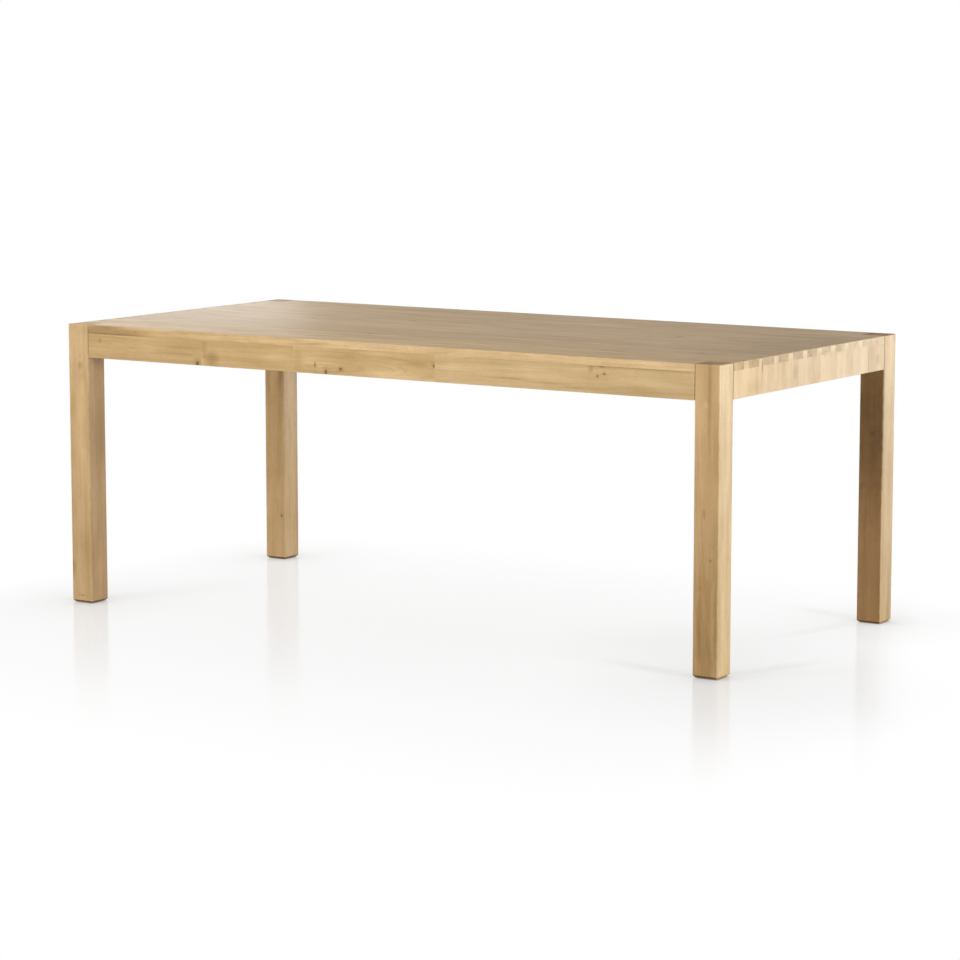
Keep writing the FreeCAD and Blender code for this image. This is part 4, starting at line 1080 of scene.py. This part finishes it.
def make_white_room():
    """A world that is white where it is seen, and lights the table only a little."""
    world = bpy.data.worlds.new("white_room")
    world.use_nodes = True
    tree = world.node_tree
    tree.nodes.clear()
    light = {"Value": seen_rays(tree), "To Min": ROOM_LIGHT, "To Max": 1.0}
    strength = put(tree, "ShaderNodeMapRange", light).outputs["Result"]
    sky = put(tree, "ShaderNodeBackground", {"Color": WHITE, "Strength": strength})
    put(tree, "ShaderNodeOutputWorld", {"Surface": sky.outputs["Background"]})
    bpy.context.scene.world = world


def far_from_shade(tree, place, to_lit_side):
    """Nought in the table's shade and one far off, or past the shade on its lit side."""
    away = calc_vector(tree, "DIVIDE", calc_vector(tree, "SUBTRACT", place, SHADE_MIDDLE), SHADE_SPREAD)
    away = split(tree, away)
    sideways = calc(tree, "POWER", calc(tree, "ABSOLUTE", away["X"]), 4.0)
    away = calc_vector(tree, "LENGTH", combine(tree, X=sideways, Y=away["Y"]))
    return calc(tree, "MAXIMUM", step(tree, away, 0.12, 1.12), step(tree, to_lit_side, 1.0, 1.2))


def shaded_floor(tree, place, far):
    """The floor as it is seen: white, with the table's soft shadow."""
    nearby = put(tree, "ShaderNodeAmbientOcclusion", {"Distance": NEAR_REACH}, samples=8).outputs["AO"]
    touching = put(tree, "ShaderNodeAmbientOcclusion", {"Distance": TOUCHING_REACH}, samples=8).outputs["AO"]
    tone = mix(tree, touching, TOUCHING_TONE, mix(tree, nearby, NEAR_TONE, WHITE))
    shaded = put(tree, "ShaderNodeBsdfDiffuse", {"Color": mix(tree, far, FLOOR_SHADED, BLACK)}).outputs[0]
    levels = {"Value": far, "To Min": SHADE_LEVEL, "To Max": 1.0}
    level = put(tree, "ShaderNodeMapRange", levels).outputs["Result"]
    for (x, y), (long, wide), turn, depth in FLOOR_SHADE:
        spot = {"Vector": place, "Location": (x, y, 0.0), "Rotation": (0.0, 0.0, math.radians(turn)),
                "Scale": (long, wide, 1.0)}
        spot = put(tree, "ShaderNodeMapping", spot, vector_type="TEXTURE").outputs["Vector"]
        darker = step(tree, calc_vector(tree, "LENGTH", spot), 0.0, 1.0, 1.0 - depth, 1.0)
        level = calc(tree, "MULTIPLY", level, darker)
    glow = put(tree, "ShaderNodeEmission", {"Color": tone, "Strength": level}).outputs[0]
    return put(tree, "ShaderNodeAddShader", {0: shaded, 1: glow}).outputs[0]


def floor_gloss(tree, place, to_lit_side):
    """How much the floor mirrors the legs: less away from each foot, and less on its lit side."""
    gloss = 0.0
    for corner, reach in MIRROR_REACH.items():
        low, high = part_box(f"leg_{corner}")
        foot = ((low.x + high.x) / 2, (low.y + high.y) / 2, 0.0)
        from_foot = calc_vector(tree, "LENGTH", calc_vector(tree, "SUBTRACT", place, foot))
        gloss = calc(tree, "MAXIMUM", gloss, step(tree, from_foot, 0.15, reach, MIRROR_DEPTH, 0.0))
    return calc(tree, "MULTIPLY", gloss, step(tree, to_lit_side, 0.95, 1.15, 1.0, 0.1))


def white_floor():
    """White from above, with the table's shadow and a faint mirror of its legs, and clear from below."""
    material, tree = empty_material("white_floor")
    place = object_place(tree)
    to_lit_side = calc_vector(tree, "DOT_PRODUCT", place, LIT_SIDE)
    plain = put(tree, "ShaderNodeBsdfDiffuse", {"Color": FLOOR_WHITE}).outputs[0]
    shaded = shaded_floor(tree, place, far_from_shade(tree, place, to_lit_side))
    mirror = put(tree, "ShaderNodeBsdfGlossy", {"Color": WHITE, "Roughness": MIRROR_ROUGHNESS}).outputs[0]
    gloss = floor_gloss(tree, place, to_lit_side)
    polished = put(tree, "ShaderNodeMixShader", {0: gloss, 1: shaded, 2: mirror}).outputs[0]
    upper = put(tree, "ShaderNodeMixShader", {0: seen_rays(tree), 1: plain, 2: polished}).outputs[0]
    clear = tree.nodes.new("ShaderNodeBsdfTransparent").outputs[0]
    below = tree.nodes.new("ShaderNodeNewGeometry").outputs["Backfacing"]
    surface = put(tree, "ShaderNodeMixShader", {0: below, 1: upper, 2: clear}).outputs[0]
    put(tree, "ShaderNodeOutputMaterial", {"Surface": surface})
    return material


def lay_floor():
    mesh = bpy.data.meshes.new("floor")
    corners = [(x * FLOOR_REACH, y * FLOOR_REACH, 0.0) for x, y in ((-1, -1), (1, -1), (1, 1), (-1, 1))]
    mesh.from_pydata(corners, [], [(0, 1, 2, 3)])
    mesh.materials.append(white_floor())
    floor = bpy.data.objects.new("floor", mesh)
    bpy.context.scene.collection.objects.link(floor)
    return floor


def keep_off(lamp, thing):
    """Keeps a lamp's light off a thing."""
    unlit = bpy.data.collections.new(f"not_lit_by_{lamp.name}")
    unlit.objects.link(thing)
    unlit.collection_objects[0].light_linking.link_state = "EXCLUDE"
    lamp.light_linking.receiver_collection = unlit


def set_camera():
    data = bpy.data.cameras.new("camera")
    data.sensor_width = CAMERA_SENSOR
    data.lens = CAMERA_LENS
    data.clip_end = CAMERA_SIGHT
    camera = bpy.data.objects.new("camera", data)
    camera.location = CAMERA_PLACE
    camera.rotation_euler = [math.radians(angle) for angle in CAMERA_TURN]
    bpy.context.scene.collection.objects.link(camera)
    bpy.context.scene.camera = camera


bpy.context.scene.view_settings.view_transform = "Standard"
dress_top()
dress_ends()
dress_rails()
dress_legs()
dress_inner_wood()
bright = zinc("bright_zinc", *BRIGHT_ZINC)
dress_metal_and_nylon(bright, black_nylon())
fit_hardware(bright)
fit_feet(zinc("dull_zinc", *DULL_ZINC))
lamps = {name: soft_box(name, *lamp) for name, lamp in SOFT_BOXES.items()}
make_white_room()
keep_off(lamps["left_end_box"], lay_floor())
set_camera()
